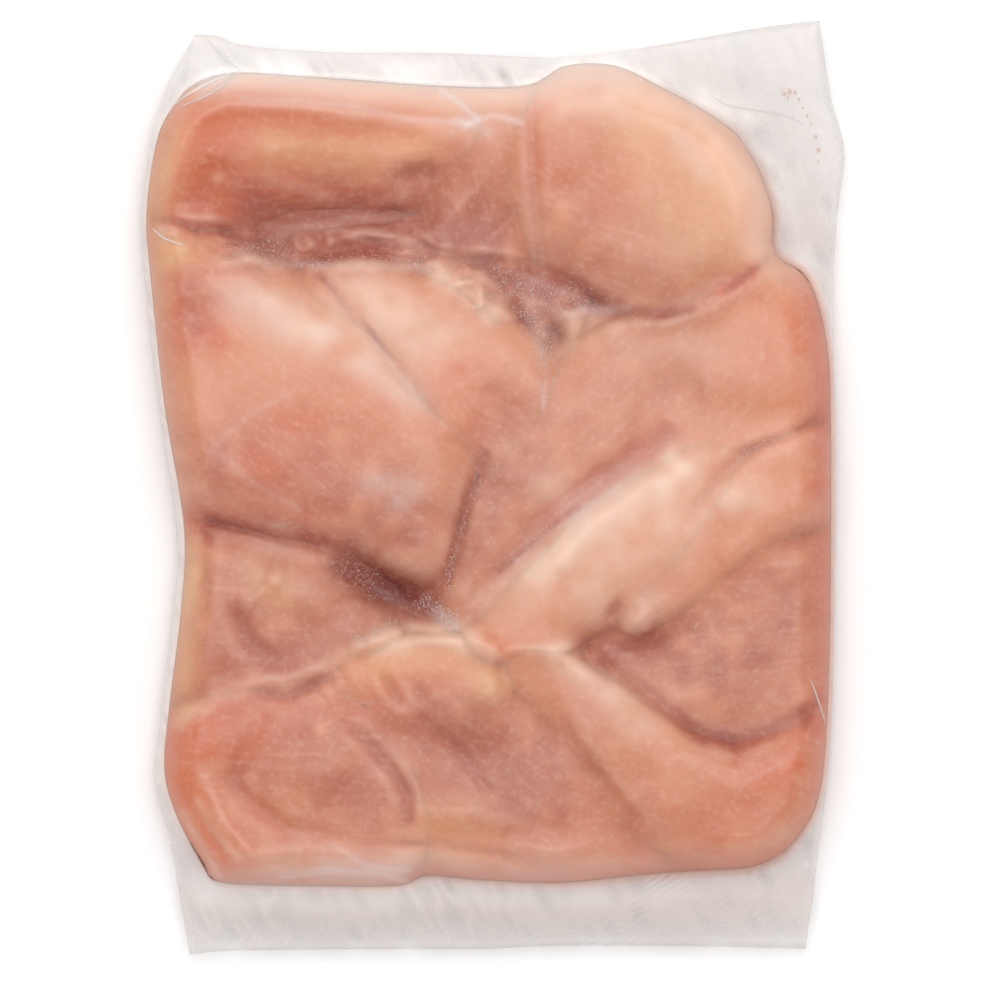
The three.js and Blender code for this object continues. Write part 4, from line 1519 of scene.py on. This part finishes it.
# The film's own haze in its margin and creases, and painted highlights where the strokes lie over the meat.
HAZE_AND_HIGHLIGHT_STROKES = tuple(Stroke(strength, width, tuple(path)) for strength, width, *path in (
    (0.14, 1.1, (-90, 139.5), (-68, 138.5), (-48, 136.5), (-28, 132), (-9, 131)),
    (0.25, 1.2, (-19, 143), (-12, 138), (-6, 133)),
    (0.2, 1.2, (10, 131), (0, 134), (-10, 130)),
    (0.06, 1.4, (10.5, 146), (11.5, 112), (15, 80)),
    (0.06, 1.0, (18.5, 75), (14.5, 111), (13, 147)),
    (0.16, 0.7, (18.5, 38), (18, 28)),
    (0.03, 1.0, (-66, 79), (-48, 58), (-34, 45), (-22, 31), (-12, 19)),
    (0.05, 4.5, (-90, 85), (-76, 83)),
    (0.03, 5, (2, 76), (18, 71), (32, 67)),
    (0.08, 3, (14, 60), (18, 46)),
    (0.1, 2.5, (-20, -45), (-14, -49)),
    (-0.02, 9, (-44, -32), (-26, -41)),
    (0.3, 12, (-108, 157), (0, 152), (116, 160)),
    (0.07, 1.2, (-73, 34), (-88, 26), (-101, 14), (-88, 3), (-70, -8)),
    (0.07, 0.8, (106, -97), (98, -102), (89, -107)),
    (0.05, 3, (28, 60), (40, 63)),
    (0.1, 1.6, (-70, 80.5), (-48, 80), (-24, 79)),
    (0.1, 1.4, (24, 62), (34, 64), (48, 64.5)),
    (0.1, 1.0, (8, -27), (22, -15), (34, -7), (46, 1)),
    (0.12, 1.4, (-76, -140), (-60, -137.5), (-40, -139), (-30, -143)),
    (0.1, 1.2, (-58, -128), (-46, -136), (-30, -138)),
    (0.4, 9, (-110, -150), (112, -148)),
    (0.2, 12, (112, 150), (116, 95)),
    (0.35, 5, (76, 140), (90, 134)),
    (0.3, 5, (-84, 154), (-72, 152)),
    (0.3, 5, (-38, 152), (-22, 150)),
    (0.25, 4, (-104, 146), (-96, 149)),
    (0.14, 4.5, (-44, 2), (-28, 0), (-34, -5)),
    (0.14, 3.5, (-64, 56), (-58, 55)),
    (0.12, 8, (-90, 66), (-76, 60)),
    (0.12, 6, (-44, 44), (-28, 32)),
    (0.12, 7, (52, 4), (30, -10)),
    (0.15, 3, (-12, 132), (-2, 128)),
    (0.1, 4, (66, 126), (76, 112)),
    (0.15, 5, (-60, -136), (-34, -136)),
))


@dataclass
class FilmBag:
    """The bag of clear film: two webs that lie on the meat and meet in a margin round it."""

    form: MeatForm
    columns: int = 226
    rows: int = 276
    rings: int = 14
    edge_steps: tuple[float, ...] = (0.1, 0.3, 0.6, 1.0, 1.6, 2.4)
    clearance: float = 0.25
    taut_rounds: int = 60
    sag: float = 0.004
    seed: int = 21
    crinkle_cells: tuple[float, float] = (9.0, 4.0)
    crinkle_height: float = 0.18
    crinkle_level: float = 0.6
    crinkle_shares: tuple[float, float] = (0.7, 0.35)
    crinkle_lean: float = 0.6
    crinkle_stretch: tuple[float, float] = (1.3, 0.4)
    streak_stretch: tuple[float, float] = (0.9, 0.3)
    flat_share: float = 0.25
    bare_haze: float = 0.02
    margin_haze: float = 0.12
    crinkle_haze: float = 0.16
    seam_highlight: float = 0.4
    seam_width: float = 2.0
    seam_rise: float = 3.0
    fade: float = 60.0
    warm_reach: float = 12.0
    warm_top: float = 150.0
    warm_least: float = 0.6
    blush_reach: float = 2.2
    blush_top: float = 160.0
    blush_least: float = 0.2
    blush_middle: float = 0.65
    blush_slope: float = 300.0
    blush_faintest: float = 0.3

    def __post_init__(self) -> None:
        """Draws the film over the meat, and the noise of its crinkles."""
        self.taut_grid = self._taut()
        self.crinkles = [SoftNoise(seed, cell) for seed, cell in enumerate(self.crinkle_cells, self.seed)]

    def build(self) -> Piece:
        """Makes the bag as one closed film.

        Returns:
            The piece.
        """
        front = Lattice(BLOCK_OUTLINE, self.columns, self.rows, self.edge_steps, self.rings, BAG_OUTLINE)
        back = Lattice(BLOCK_OUTLINE, self.columns // 2, self.rows // 2, self.edge_steps[1::2],
                       self.rings // 2, BAG_OUTLINE)
        upper = np.stack([front.x, front.y, self.front_height(front)], -1).reshape(-1, 3)
        lower = np.stack([back.x, back.y, self.back_height(back)], -1).reshape(-1, 3)
        faces = [front.triangles(), len(upper) + back.triangles()[:, ::-1],
                 self._edge(self._loop(front), len(upper) + self._loop(back))]
        points = np.concatenate([upper, lower])
        out = np.concatenate([front.out.ravel(), back.out.ravel()])
        return make_object("film_bag", points, np.concatenate(faces), self._attributes(points, out))

    def _attributes(self, points: Array, out: Array) -> dict[str, Array]:
        """Gives how warm the film is, how pink along the block's outline, and how milky, with painted
        highlights, at its points.

        Args:
            points: The film's points, one in each row.
            out: How far out in the margin they lie, from 0 to 1.

        Returns:
            The values by name.
        """
        x, y, _ = points.T
        beyond = -self.form.grid.sample(self.form.depth_grid, x, y)
        # The margin's darker warm grey grows away from the outline and is weaker at the top: partly the
        # film's own tint, partly painted shade from the block and a painted reflection of the meat.
        warm = np.where(out > 0, np.clip(beyond / self.warm_reach, 0, 1), 0)
        warm = warm * np.clip((self.warm_top - y) / self.fade, self.warm_least, 1)
        up = np.clip((self.blush_top - y) / self.fade, self.blush_least, 1)
        across = np.clip(self.blush_middle + x / self.blush_slope, self.blush_faintest, 1)
        blush = up * across * falloff(beyond, self.blush_reach)
        return {"warm": warm, "blush": blush, "haze_and_highlight": self._haze_and_highlight(points, out)}

    def _taut(self) -> Array:
        """Draws the film over the meat on the plan grid.

        Returns:
            The film's heights, before the block's edge is rounded.
        """
        obstacle = self.form.free_grid + self.clearance
        height = obstacle.copy()
        for _ in range(self.taut_rounds):
            beside = [np.roll(height, step, axis) for axis, step in ((0, 1), (0, -1), (1, 1), (1, -1))]
            height = np.maximum(sum(beside) / 4 - self.sag, obstacle)
        return height

    def over_meat(self, x: Array, y: Array, depth: Array) -> Array:
        """Gives the upper web's heights over the block, at plan positions and their depths in it."""
        taut = self.form.grid.sample(self.taut_grid, x, y)
        return SEAM_HEIGHT + (taut - SEAM_HEIGHT) * edge_rise(depth)

    def _crinkle(self, noise: SoftNoise, x: Array, y: Array, stretch: tuple[float, float]) -> Array:
        """Gives a noise's size at plan positions that lean and stretch across the margin."""
        along, across = x + self.crinkle_lean * y, y - self.crinkle_lean * x
        return np.abs(noise.at(stretch[0] * along, stretch[1] * across))

    def margin_height(self, x: Array, y: Array, out: Array) -> Array:
        """Gives the margin's heights, which droop outwards and buckle along the outline.

        Args:
            x: Plan positions.
            y: Plan positions.
            out: How far out in the margin they lie, from 0 to 1.

        Returns:
            The heights.
        """
        wave = np.sin(2 * np.pi * (x + y) / MARGIN_WAVE_LENGTH) * np.cos(np.pi * y / MARGIN_WAVE_LENGTH)
        coarse, fine = (self._crinkle(noise, x, y, self.crinkle_stretch) for noise in self.crinkles)
        level = self.crinkle_level - self.crinkle_shares[0] * coarse - self.crinkle_shares[1] * fine
        crinkle = self.crinkle_height * level * np.clip(out / self.flat_share, 0, 1)
        return SEAM_HEIGHT - out * MARGIN_DROOP + out * MARGIN_WAVE * wave + crinkle

    def front_height(self, lattice: Lattice) -> Array:
        """Gives the upper web's heights at a lattice's points."""
        margin = self.margin_height(lattice.x, lattice.y, lattice.out)
        return np.where(lattice.out > 0, margin, self.over_meat(lattice.x, lattice.y, self._depth(lattice)))

    def back_height(self, lattice: Lattice) -> Array:
        """Gives the lower web's heights at a lattice's points."""
        margin = self.margin_height(lattice.x, lattice.y, lattice.out) - MARGIN_THICKNESS / 2
        return np.where(lattice.out > 0, margin, base_height(self._depth(lattice)))

    def _haze_and_highlight(self, points: Array, out: Array) -> Array:
        """Gives how milky the film is: its own haze, painted highlights over the meat and painted light along
        the seam.

        Args:
            points: The film's points, one in each row.
            out: How far out in the margin they lie, from 0 to 1.

        Returns:
            Values from 0, clear, to 1, white.
        """
        x, y, z = points.T
        ridge = 1 - self._crinkle(self.crinkles[1], x, y, self.streak_stretch)
        depth = self.form.grid.sample(self.form.depth_grid, x, y)
        away = np.where(out > 0, depth / self.seam_width, (z - SEAM_HEIGHT) / self.seam_rise)
        # Painted light: a white veil along the seam, which lights the line where the block meets the margin.
        seam = self.seam_highlight * falloff(away, 1)
        base = seam + np.where(out > 0, self.margin_haze + self.crinkle_haze * ridge, self.bare_haze)
        return np.clip(base + sum(stroke.mask(x, y) for stroke in HAZE_AND_HIGHLIGHT_STROKES), 0, 1)

    @staticmethod
    def _depth(lattice: Lattice) -> Array:
        """Gives the depth of a lattice's points inside the block's outline.

        Args:
            lattice: The lattice.

        Returns:
            The depths, which are 0 on the outline and in the margin.
        """
        within = slice(lattice.rings + 1, -lattice.rings - 1)
        depth = np.zeros(lattice.shape)
        depth[within, within] = BLOCK_OUTLINE.depth(lattice.x[within, within], lattice.y[within, within])
        return depth

    @staticmethod
    def _loop(lattice: Lattice) -> Indices:
        """Gives the indices round a lattice's edge, counterclockwise from its bottom left corner."""
        index = np.arange(lattice.x.size).reshape(lattice.shape)
        return np.concatenate([index[0, :-1], index[:-1, -1], index[-1, :0:-1], index[:0:-1, 0]])

    @staticmethod
    def _edge(upper: Indices, lower: Indices) -> Indices:
        """Joins the fine loop of the upper web to the lower web's loop of half as many points.

        Args:
            upper: The upper loop's indices.
            lower: The lower loop's indices.

        Returns:
            The triangles between them.
        """
        a, b, c = upper[0::2], upper[1::2], np.roll(upper[0::2], -1)
        after = np.roll(lower, -1)
        corners = ((lower, b, a), (lower, after, b), (after, c, b))
        return np.concatenate([np.stack(three, 1) for three in corners])


class FilmTop:
    """Finds the film's upper surface over plan positions."""

    def __init__(self, bag: Piece) -> None:
        """Takes the finished bag."""
        points = [vertex.co.copy() for vertex in bag.data.vertices]
        self.tree = BVHTree.FromPolygons(points, [tuple(face.vertices) for face in bag.data.polygons])

    def height(self, x: float, y: float) -> float | None:
        """Gives the height of the film's top in millimetres, if there is film at the place."""
        hit = self.tree.ray_cast(Vector(((x + PLAN_SHIFT[0]) * MM, y * MM, 1.0)), Vector((0, 0, -1)))[0]
        return None if hit is None else hit.z / MM


@dataclass
class FilmPleats:
    """Narrow closed pleats that stand up from the film."""

    top: FilmTop
    pitch: float = 0.8
    fewest_rings: int = 4
    rise: float = 0.3
    end_share: float = 0.05
    section: Path = ((-0.5, -0.35), (0.5, -0.35), (0.28, 0.7), (0.0, 1.0), (-0.28, 0.7))

    def build(self) -> Piece:
        """Makes all pleats as one piece.

        Returns:
            The piece.
        """
        vertices, faces, haze_and_highlight = [], [], []
        start = 0
        for pleat in FILM_PLEATS:
            points = self._ridge(pleat)
            vertices.append(points)
            faces.append(start + self._skin(len(points) // len(self.section), len(self.section)))
            haze_and_highlight.append(np.full(len(points), pleat.haze_and_highlight))
            start += len(points)
        milky = np.concatenate(haze_and_highlight)
        attributes = {"warm": np.zeros(len(milky)), "haze_and_highlight": milky}
        return make_object("film_pleats", np.concatenate(vertices), np.concatenate(faces), attributes)

    def _ridge(self, pleat: Pleat) -> Array:
        """Gives the rings of points along one pleat.

        Args:
            pleat: The pleat.

        Returns:
            The points, ring after ring.
        """
        length = sum(math.dist(a, b) for a, b in zip(pleat.path, pleat.path[1:]))
        share = np.linspace(0, 1, max(self.fewest_rings, round(length / self.pitch)))
        middle = spline_points(np.array(pleat.path), share)
        along = np.gradient(middle, axis=0)
        side = np.stack([-along[:, 1], along[:, 0]], 1) / np.linalg.norm(along, axis=1)[:, None]
        taper = np.sqrt(np.maximum(np.sin(math.pi * share), self.end_share))
        rings = []
        for (x, y), across, size in zip(middle, side, taper):
            level = self.top.height(x, y) or SEAM_HEIGHT
            wide_x, wide_y = across[0] * pleat.width * size, across[1] * pleat.width * size
            rings += [(x + wide_x * u, y + wide_y * u, level + self.rise * size * v) for u, v in self.section]
        return np.array(rings)

    @staticmethod
    def _skin(rings: int, count: int) -> Indices:
        """Gives the triangles of a closed tube of rings.

        Args:
            rings: The number of rings.
            count: The number of points in each.

        Returns:
            The triangles.
        """
        row, column = np.meshgrid(np.arange(rings - 1), np.arange(count), indexing="ij")
        a, b = row * count + column, row * count + (column + 1) % count
        c, d = a + count, b + count
        sides = [np.stack(three, -1).reshape(-1, 3) for three in ((a, b, d), (a, d, c))]
        end = (rings - 1) * count
        first = [(0, k + 1, k) for k in range(1, count - 1)]
        last = [(end, end + k, end + k + 1) for k in range(1, count - 1)]
        return np.concatenate([*sides, np.array(first + last)])


@dataclass(frozen=True)
class FrothRun:
    """Small bubbles of juice along a path."""

    count: int
    spread: float
    path: Path


FROTH_RUNS = tuple(FrothRun(count, spread, tuple(path)) for count, spread, *path in (
    (700, 4.0, (-2, 76), (14, 70), (32, 67)),
    (650, 2.4, (8, 64), (17, 54), (19, 44), (18, 34)),
    (300, 4.0, (-22, 79), (-8, 72), (2, 62)),
    (260, 3.0, (-56, -27), (-42, -36)),
    (600, 2.2, (-25, -41), (-19, -46), (-13, -51)),
    (200, 0.9, (-16, -38), (-15, -26), (-5, 2)),
    (380, 1.6, (-36, -49), (-50, -56)),
    (500, 3.2, (-98, 81), (-86, 85), (-74, 83)),
    (400, 1.8, (-72, 80), (-45, 81), (-18, 80)),
    (35, 1.5, (88, 13), (102, 17)),
    (18, 1.6, (72, -49), (73, -51)),
    (18, 2.5, (76, -66), (80, -62)),
    (160, 2.5, (-76, -138), (-30, -138)),
    (50, 1.2, (2, -28), (18, -16), (28, -9)),
    (35, 1.5, (20, -56), (34, -60), (46, -68)),
    (35, 2.0, (80, -95), (92, -96), (104, -92)),
    (30, 1.5, (-100, -14), (-80, -13), (-66, -17)),
    (220, 60.0, (-70, 60), (40, -60)),
))


def make_balls(name: str, places: list[tuple[Place, Array | float]]) -> Piece:
    """Makes small balls of 12 points as one piece.

    Args:
        name: The piece's name.
        places: The middle and the half size, or the half sizes, of each ball in millimetres.

    Returns:
        The piece.
    """
    golden = (1 + math.sqrt(5)) / 2
    points = np.array([
        (-1, golden, 0), (1, golden, 0), (-1, -golden, 0), (1, -golden, 0), (0, -1, golden), (0, 1, golden),
        (0, -1, -golden), (0, 1, -golden), (golden, 0, -1), (golden, 0, 1), (-golden, 0, -1), (-golden, 0, 1),
    ]) / math.hypot(1, golden)
    sides = np.array([
        (0, 11, 5), (0, 5, 1), (0, 1, 7), (0, 7, 10), (0, 10, 11), (1, 5, 9), (5, 11, 4), (11, 10, 2),
        (10, 7, 6), (7, 1, 8), (3, 9, 4), (3, 4, 2), (3, 2, 6), (3, 6, 8), (3, 8, 9), (4, 9, 5),
        (2, 4, 11), (6, 2, 10), (8, 6, 7), (9, 8, 1),
    ])
    vertices = np.concatenate([points * size + middle for middle, size in places])
    faces = np.concatenate([sides + len(points) * number for number in range(len(places))])
    return make_object(name, vertices, faces, {})


@dataclass
class Froth:
    """Tiny bubbles of juice, caught between the film and the meat."""

    top: FilmTop
    form: MeatForm
    seed: int = 31
    smallest: float = 0.08
    largest: float = 0.24
    scarcity: float = 2.2
    edge_gap: float = 3.0
    film_gap: float = 0.08

    def build(self) -> Piece:
        """Makes all bubbles as one piece.

        Returns:
            The piece.
        """
        draw = np.random.default_rng(self.seed)
        places = []
        for run in FROTH_RUNS:
            points = spline_points(np.array(run.path), draw.random(run.count))
            points = points + draw.normal(0, run.spread, points.shape)
            radii = self.smallest + (self.largest - self.smallest) * draw.random(run.count) ** self.scarcity
            inside = self.form.grid.sample(self.form.depth_grid, points[:, 0], points[:, 1]) > self.edge_gap
            for (x, y), radius in zip(points[inside], radii[inside]):
                places.append(((x, y, self.top.height(x, y) - radius - self.film_gap), radius))
        return make_balls("froth_bubbles", places)


@dataclass
class JuiceDrops:
    """Flat drops of juice caught in the empty margin at the top right."""

    top: FilmTop
    height: float = 0.35
    length_share: float = 1.2
    places: tuple[Place, ...] = (
        (105, 142.5, 0.9), (107, 143.2, 1.2), (109, 143, 0.9), (106.5, 141, 0.7), (110.5, 140.5, 0.7),
        (112, 137.5, 0.6), (113.5, 134.5, 0.7), (115, 131.5, 0.5), (116.5, 127, 0.8), (117.5, 122, 0.9),
        (117.5, 118, 0.6),
    )

    def build(self) -> Piece:
        """Makes the drops as one piece.

        Returns:
            The piece.
        """
        places = []
        for x, y, radius in self.places:
            level = (self.top.height(x, y) or SEAM_HEIGHT) - MARGIN_THICKNESS / 4
            places.append(((x, y, level), np.array([radius, self.length_share * radius, self.height])))
        return make_balls("juice_drops", places)


class Graph:
    """Adds the nodes of one node tree."""

    def __init__(self, tree: bpy.types.NodeTree) -> None:
        """Takes the node tree to fill."""
        self.tree = tree

    def fill(self, node: Node, inputs: dict[str | int, object]) -> None:
        """Sets or links a node's inputs.

        Args:
            node: The node.
            inputs: Values or sockets, by the input's name or number. Colours have no alpha.
        """
        for title, value in inputs.items():
            if isinstance(value, Socket):
                self.tree.links.new(value, node.inputs[title])
            elif node.inputs[title].type == "RGBA":
                node.inputs[title].default_value = (*value, 1.0)
            else:
                node.inputs[title].default_value = value

    def node(self, kind: str, inputs: dict[str | int, object] | None = None, **settings: object) -> Node:
        """Adds a node.

        Args:
            kind: The node's type.
            inputs: Values or sockets for its inputs, by name or number.
            **settings: Values for its properties.

        Returns:
            The node.
        """
        made = self.tree.nodes.new(kind)
        for title, value in settings.items():
            setattr(made, title, value)
        self.fill(made, inputs or {})
        return made

    def mix(self, factor: Socket, first: object, second: object) -> Socket:
        """Adds a colour Mix node, whose colours are its inputs 6 and 7, and gives its output."""
        return self.node("ShaderNodeMix", {0: factor, 6: first, 7: second}, data_type="RGBA").outputs[2]

    def attribute(self, name: str, output: str = "Fac") -> Socket:
        """Adds an Attribute node and gives one of its outputs."""
        return self.node("ShaderNodeAttribute", attribute_name=name).outputs[output]

    def noise(self, vector: Socket, scale: object, detail: float = 3.0, rough: float = 0.55) -> Socket:
        """Adds a Noise Texture node and gives its factor."""
        inputs = {"Vector": vector, "Scale": scale, "Detail": detail, "Roughness": rough}
        return self.node("ShaderNodeTexNoise", inputs).outputs[0]

    def span(self, value: Socket, span: Span) -> Socket:
        """Adds a clamped Map Range node and gives its output."""
        inputs = {"Value": value} | dict(zip(("From Min", "From Max", "To Min", "To Max"), span))
        return self.node("ShaderNodeMapRange", inputs, clamp=True).outputs[0]


def mottle_group() -> bpy.types.NodeTree:
    """Makes the node group of soft cloudy patches and fine specks, once.

    Returns:
        The group, with inputs Cloud Scale and Speck Scale and outputs Cloud and Speck from 0 to 1.
    """
    name = "Soft Mottle"
    if name in bpy.data.node_groups:
        return bpy.data.node_groups[name]
    tree = bpy.data.node_groups.new(name, "ShaderNodeTree")
    for title in ("Cloud", "Speck"):
        tree.interface.new_socket(name=f"{title} Scale", in_out="INPUT", socket_type="NodeSocketFloat")
        tree.interface.new_socket(name=title, in_out="OUTPUT", socket_type="NodeSocketFloat")
    graph = Graph(tree)
    scales = graph.node("NodeGroupInput").outputs
    place = graph.node("ShaderNodeTexCoord").outputs["Object"]
    graph.node("NodeGroupOutput", {
        "Cloud": graph.noise(place, scales["Cloud Scale"], 2.0),
        "Speck": graph.noise(place, scales["Speck Scale"], 1.0),
    })
    return tree


def new_material(name: str) -> tuple[bpy.types.Material, Graph, Node]:
    """Makes a material.

    Args:
        name: Its name.

    Returns:
        The material, its graph and its shader.
    """
    made = bpy.data.materials.new(name)
    made.use_nodes = True
    return made, Graph(made.node_tree), made.node_tree.nodes["Principled BSDF"]


@dataclass(frozen=True)
class FleshFinish:
    """Raw chicken flesh: translucent, faintly mottled, with pale strands along its fibres."""

    name: str = "raw_flesh"
    pale: Colour = Tint.PALE.value
    mauve: Colour = Tint.MAUVE.value
    cloud_scale: float = 55.0
    speck_scale: float = 420.0
    strand_scale: Place = (60.0, 420.0, 60.0)
    strands: Span = (0.5, 0.78, 0.0, 0.12)
    clouds: Span = (0.42, 0.75, 0.0, 0.1)
    specks: Span = (0.5, 0.8, 0.0, 0.16)
    bump: float = 0.2
    bump_height: float = 0.0003
    roughness: float = 0.45
    specular: float = 0.25
    scatter: float = 0.35
    scatter_colour: Colour = (1.0, 0.42, 0.28)
    scatter_reach: float = 0.004

    def material(self) -> bpy.types.Material:
        """Makes the finish's material.

        Returns:
            The material.
        """
        made, graph, shader = new_material(self.name)
        scales = {"Cloud Scale": self.cloud_scale, "Speck Scale": self.speck_scale}
        mottle = graph.node("ShaderNodeGroup", scales, node_tree=mottle_group()).outputs
        scale = {"Vector": graph.attribute("fibre", "Vector"), "Scale": self.strand_scale}
        strands = graph.noise(graph.node("ShaderNodeMapping", scale).outputs[0], 1.0, 3.0, 0.6)
        # The tone carries the meat's own colours together with its painted light and shade.
        colour = graph.attribute("tone", "Color")
        colour = graph.mix(graph.span(strands, self.strands), colour, self.pale)
        colour = graph.mix(graph.span(mottle["Cloud"], self.clouds), colour, self.mauve)
        colour = graph.mix(graph.span(mottle["Speck"], self.specks), colour, self.pale)
        bump = {"Strength": self.bump, "Distance": self.bump_height, "Height": strands}
        graph.fill(shader, {
            "Base Color": colour,
            "Normal": graph.node("ShaderNodeBump", bump).outputs[0],
            "Roughness": self.roughness,
            "Specular IOR Level": self.specular,
            "Subsurface Weight": self.scatter,
            "Subsurface Radius": self.scatter_colour,
            "Subsurface Scale": self.scatter_reach,
        })
        return made


@dataclass(frozen=True)
class JuiceFinish:
    """Thin watery juice, as bubbles or as drops."""

    name: str
    colour: Colour
    alpha: float
    roughness: float = 0.25
    darker: float = 0.8
    cloud_scale: float = 55.0

    def material(self) -> bpy.types.Material:
        """Makes the finish's material.

        Returns:
            The material.
        """
        made, graph, shader = new_material(self.name)
        scales = {"Cloud Scale": self.cloud_scale}
        mottle = graph.node("ShaderNodeGroup", scales, node_tree=mottle_group()).outputs
        dark = tuple(self.darker * part for part in self.colour)
        colour = graph.mix(mottle["Cloud"], self.colour, dark)
        graph.fill(shader, {"Base Color": colour, "Roughness": self.roughness, "Alpha": self.alpha})
        return made


@dataclass(frozen=True)
class FilmFinish:
    """Clear glossy film, milky where it is creased or lies on itself, and with painted highlights in its
    milky layer over the meat.
    """

    name: str = "clear_film"
    clear: Colour = (0.932, 0.929, 0.926)
    veil: Colour = (0.92, 0.9, 0.88)
    margin: Colour = (0.74, 0.67, 0.645)
    blush: Colour = srgb(228, 178, 158)
    gloss: Colour = (1.0, 1.0, 1.0)
    index: float = 1.35
    shine: Span = (0.02, 0.7, 0.022, 0.12)
    roughness: float = 0.3

    def material(self) -> bpy.types.Material:
        """Makes the finish's material.

        Returns:
            The material.
        """
        made, graph, shader = new_material(self.name)
        made.node_tree.nodes.remove(shader)
        colour = graph.mix(graph.attribute("warm"), self.veil, self.margin)
        colour = graph.mix(graph.attribute("blush"), colour, self.blush)
        clear = graph.node("ShaderNodeBsdfTransparent", {"Color": self.clear}).outputs[0]
        milky = graph.node("ShaderNodeBsdfDiffuse", {"Color": colour}).outputs[0]
        gloss = {"Color": self.gloss, "Roughness": self.roughness}
        glossy = graph.node("ShaderNodeBsdfGlossy", gloss).outputs[0]
        body = graph.node("ShaderNodeMixShader", {0: graph.attribute("haze_and_highlight"), 1: clear, 2: milky}).outputs[0]
        fresnel = graph.node("ShaderNodeFresnel", {"IOR": self.index}).outputs[0]
        layers = {0: graph.span(fresnel, self.shine), 1: body, 2: glossy}
        sheet = graph.node("ShaderNodeMixShader", layers).outputs[0]
        graph.fill(made.node_tree.nodes["Material Output"], {"Surface": sheet})
        return made


@dataclass(frozen=True)
class FloorFinish:
    """A plain pale studio floor."""

    name: str = "pale_floor"
    colour: Colour = (0.9, 0.9, 0.9)
    roughness: float = 0.9

    def material(self) -> bpy.types.Material:
        """Makes the finish's material.

        Returns:
            The material.
        """
        made, graph, shader = new_material(self.name)
        graph.fill(shader, {"Base Color": self.colour, "Roughness": self.roughness})
        return made


@dataclass
class Studio:
    """The floor, the soft light and the camera straight above the pack."""

    frame_width: float = 0.36
    camera_height: float = 4.0
    view_centre: tuple[float, float] = (0.00255, -0.0045)
    pack_level: float = 0.03
    sensor: float = 36.0
    sight: tuple[float, float] = (0.1, 50.0)
    floor_size: float = 6.0
    floor_level: float = -0.0002
    sky: Colour = (1.0, 1.0, 1.0)
    sky_strength: float = 1.12
    sky_lean: Place = (0.0, 0.0, -0.45)
    key_place: Place = (0.0, 0.6, 2.2)
    key_size: float = 1.8
    key_power: float = 31.0

    def build(self) -> None:
        """Makes the floor, the lights and the camera."""
        self._floor()
        self._world()
        self._key_light()
        self._camera()
        view = bpy.context.scene.view_settings
        view.view_transform = "Standard"
        view.look = "None"

    def _floor(self) -> None:
        """Makes the floor, just under the pack."""
        half = self.floor_size / 2
        corners = ((-half, -half), (half, -half), (half, half), (-half, half))
        mesh = bpy.data.meshes.new("floor")
        mesh.from_pydata([(x, y, self.floor_level) for x, y in corners], [], [(0, 1, 2, 3)])
        floor = bpy.data.objects.new("floor", mesh)
        bpy.context.scene.collection.objects.link(floor)
        floor.data.materials.append(FloorFinish().material())

    def _world(self) -> None:
        """Makes the soft light from all round, which is stronger from the sides than from above."""
        world = bpy.data.worlds.new("studio")
        world.use_nodes = True
        graph = Graph(world.node_tree)
        way = graph.node("ShaderNodeTexCoord").outputs["Generated"]
        lean = graph.node("ShaderNodeVectorMath", {0: way, 1: self.sky_lean}, operation="DOT_PRODUCT")
        terms = {0: lean.outputs["Value"], 1: self.sky_strength, 2: self.sky_strength}
        strength = graph.node("ShaderNodeMath", terms, operation="MULTIPLY_ADD").outputs[0]
        graph.fill(world.node_tree.nodes["Background"], {"Color": self.sky, "Strength": strength})
        bpy.context.scene.world = world

    def _key_light(self) -> None:
        """Makes a square area light that faces the pack."""
        lamp = bpy.data.lights.new("key", "AREA")
        lamp.shape, lamp.size, lamp.energy = "SQUARE", self.key_size, self.key_power
        holder = bpy.data.objects.new("key", lamp)
        holder.location = self.key_place
        holder.rotation_euler = (-Vector(self.key_place)).to_track_quat("-Z", "Y").to_euler()
        bpy.context.scene.collection.objects.link(holder)

    def _camera(self) -> None:
        """Makes the camera, straight above with a long lens."""
        data = bpy.data.cameras.new("camera")
        data.sensor_width = data.sensor_height = self.sensor
        data.lens = self.sensor * (self.camera_height - self.pack_level) / self.frame_width
        data.clip_start, data.clip_end = self.sight
        camera = bpy.data.objects.new("camera", data)
        camera.location = (*self.view_centre, self.camera_height)
        bpy.context.scene.collection.objects.link(camera)
        bpy.context.scene.camera = camera


def settle(piece: Piece, material: bpy.types.Material) -> None:
    """Gives a piece its finish and its body, and hides the solid that it stands for.

    Args:
        piece: The piece.
        material: Its material.
    """
    piece.data.materials.append(material)
    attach(piece, BODY)
    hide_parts(NODE)
    LOG.info("%s: %d triangles", piece.name, len(piece.data.polygons))


def main() -> None:
    """Builds the pack and the studio."""
    logging.basicConfig(level=logging.INFO, format="%(name)s %(message)s")
    Studio().build()
    form = MeatForm()
    flesh = FleshFinish().material()
    for piece in MeatBlock(form).build():
        settle(piece, flesh)
    clear = FilmFinish().material()
    bag = FilmBag(form).build()
    settle(bag, clear)
    top = FilmTop(bag)
    settle(FilmPleats(top).build(), clear)
    settle(Froth(top, form).build(), JuiceFinish("froth", srgb(240, 224, 216), 0.8).material())
    settle(JuiceDrops(top).build(), JuiceFinish("juice", srgb(236, 190, 172), 0.45).material())


if __name__ == "__main__":
    main()
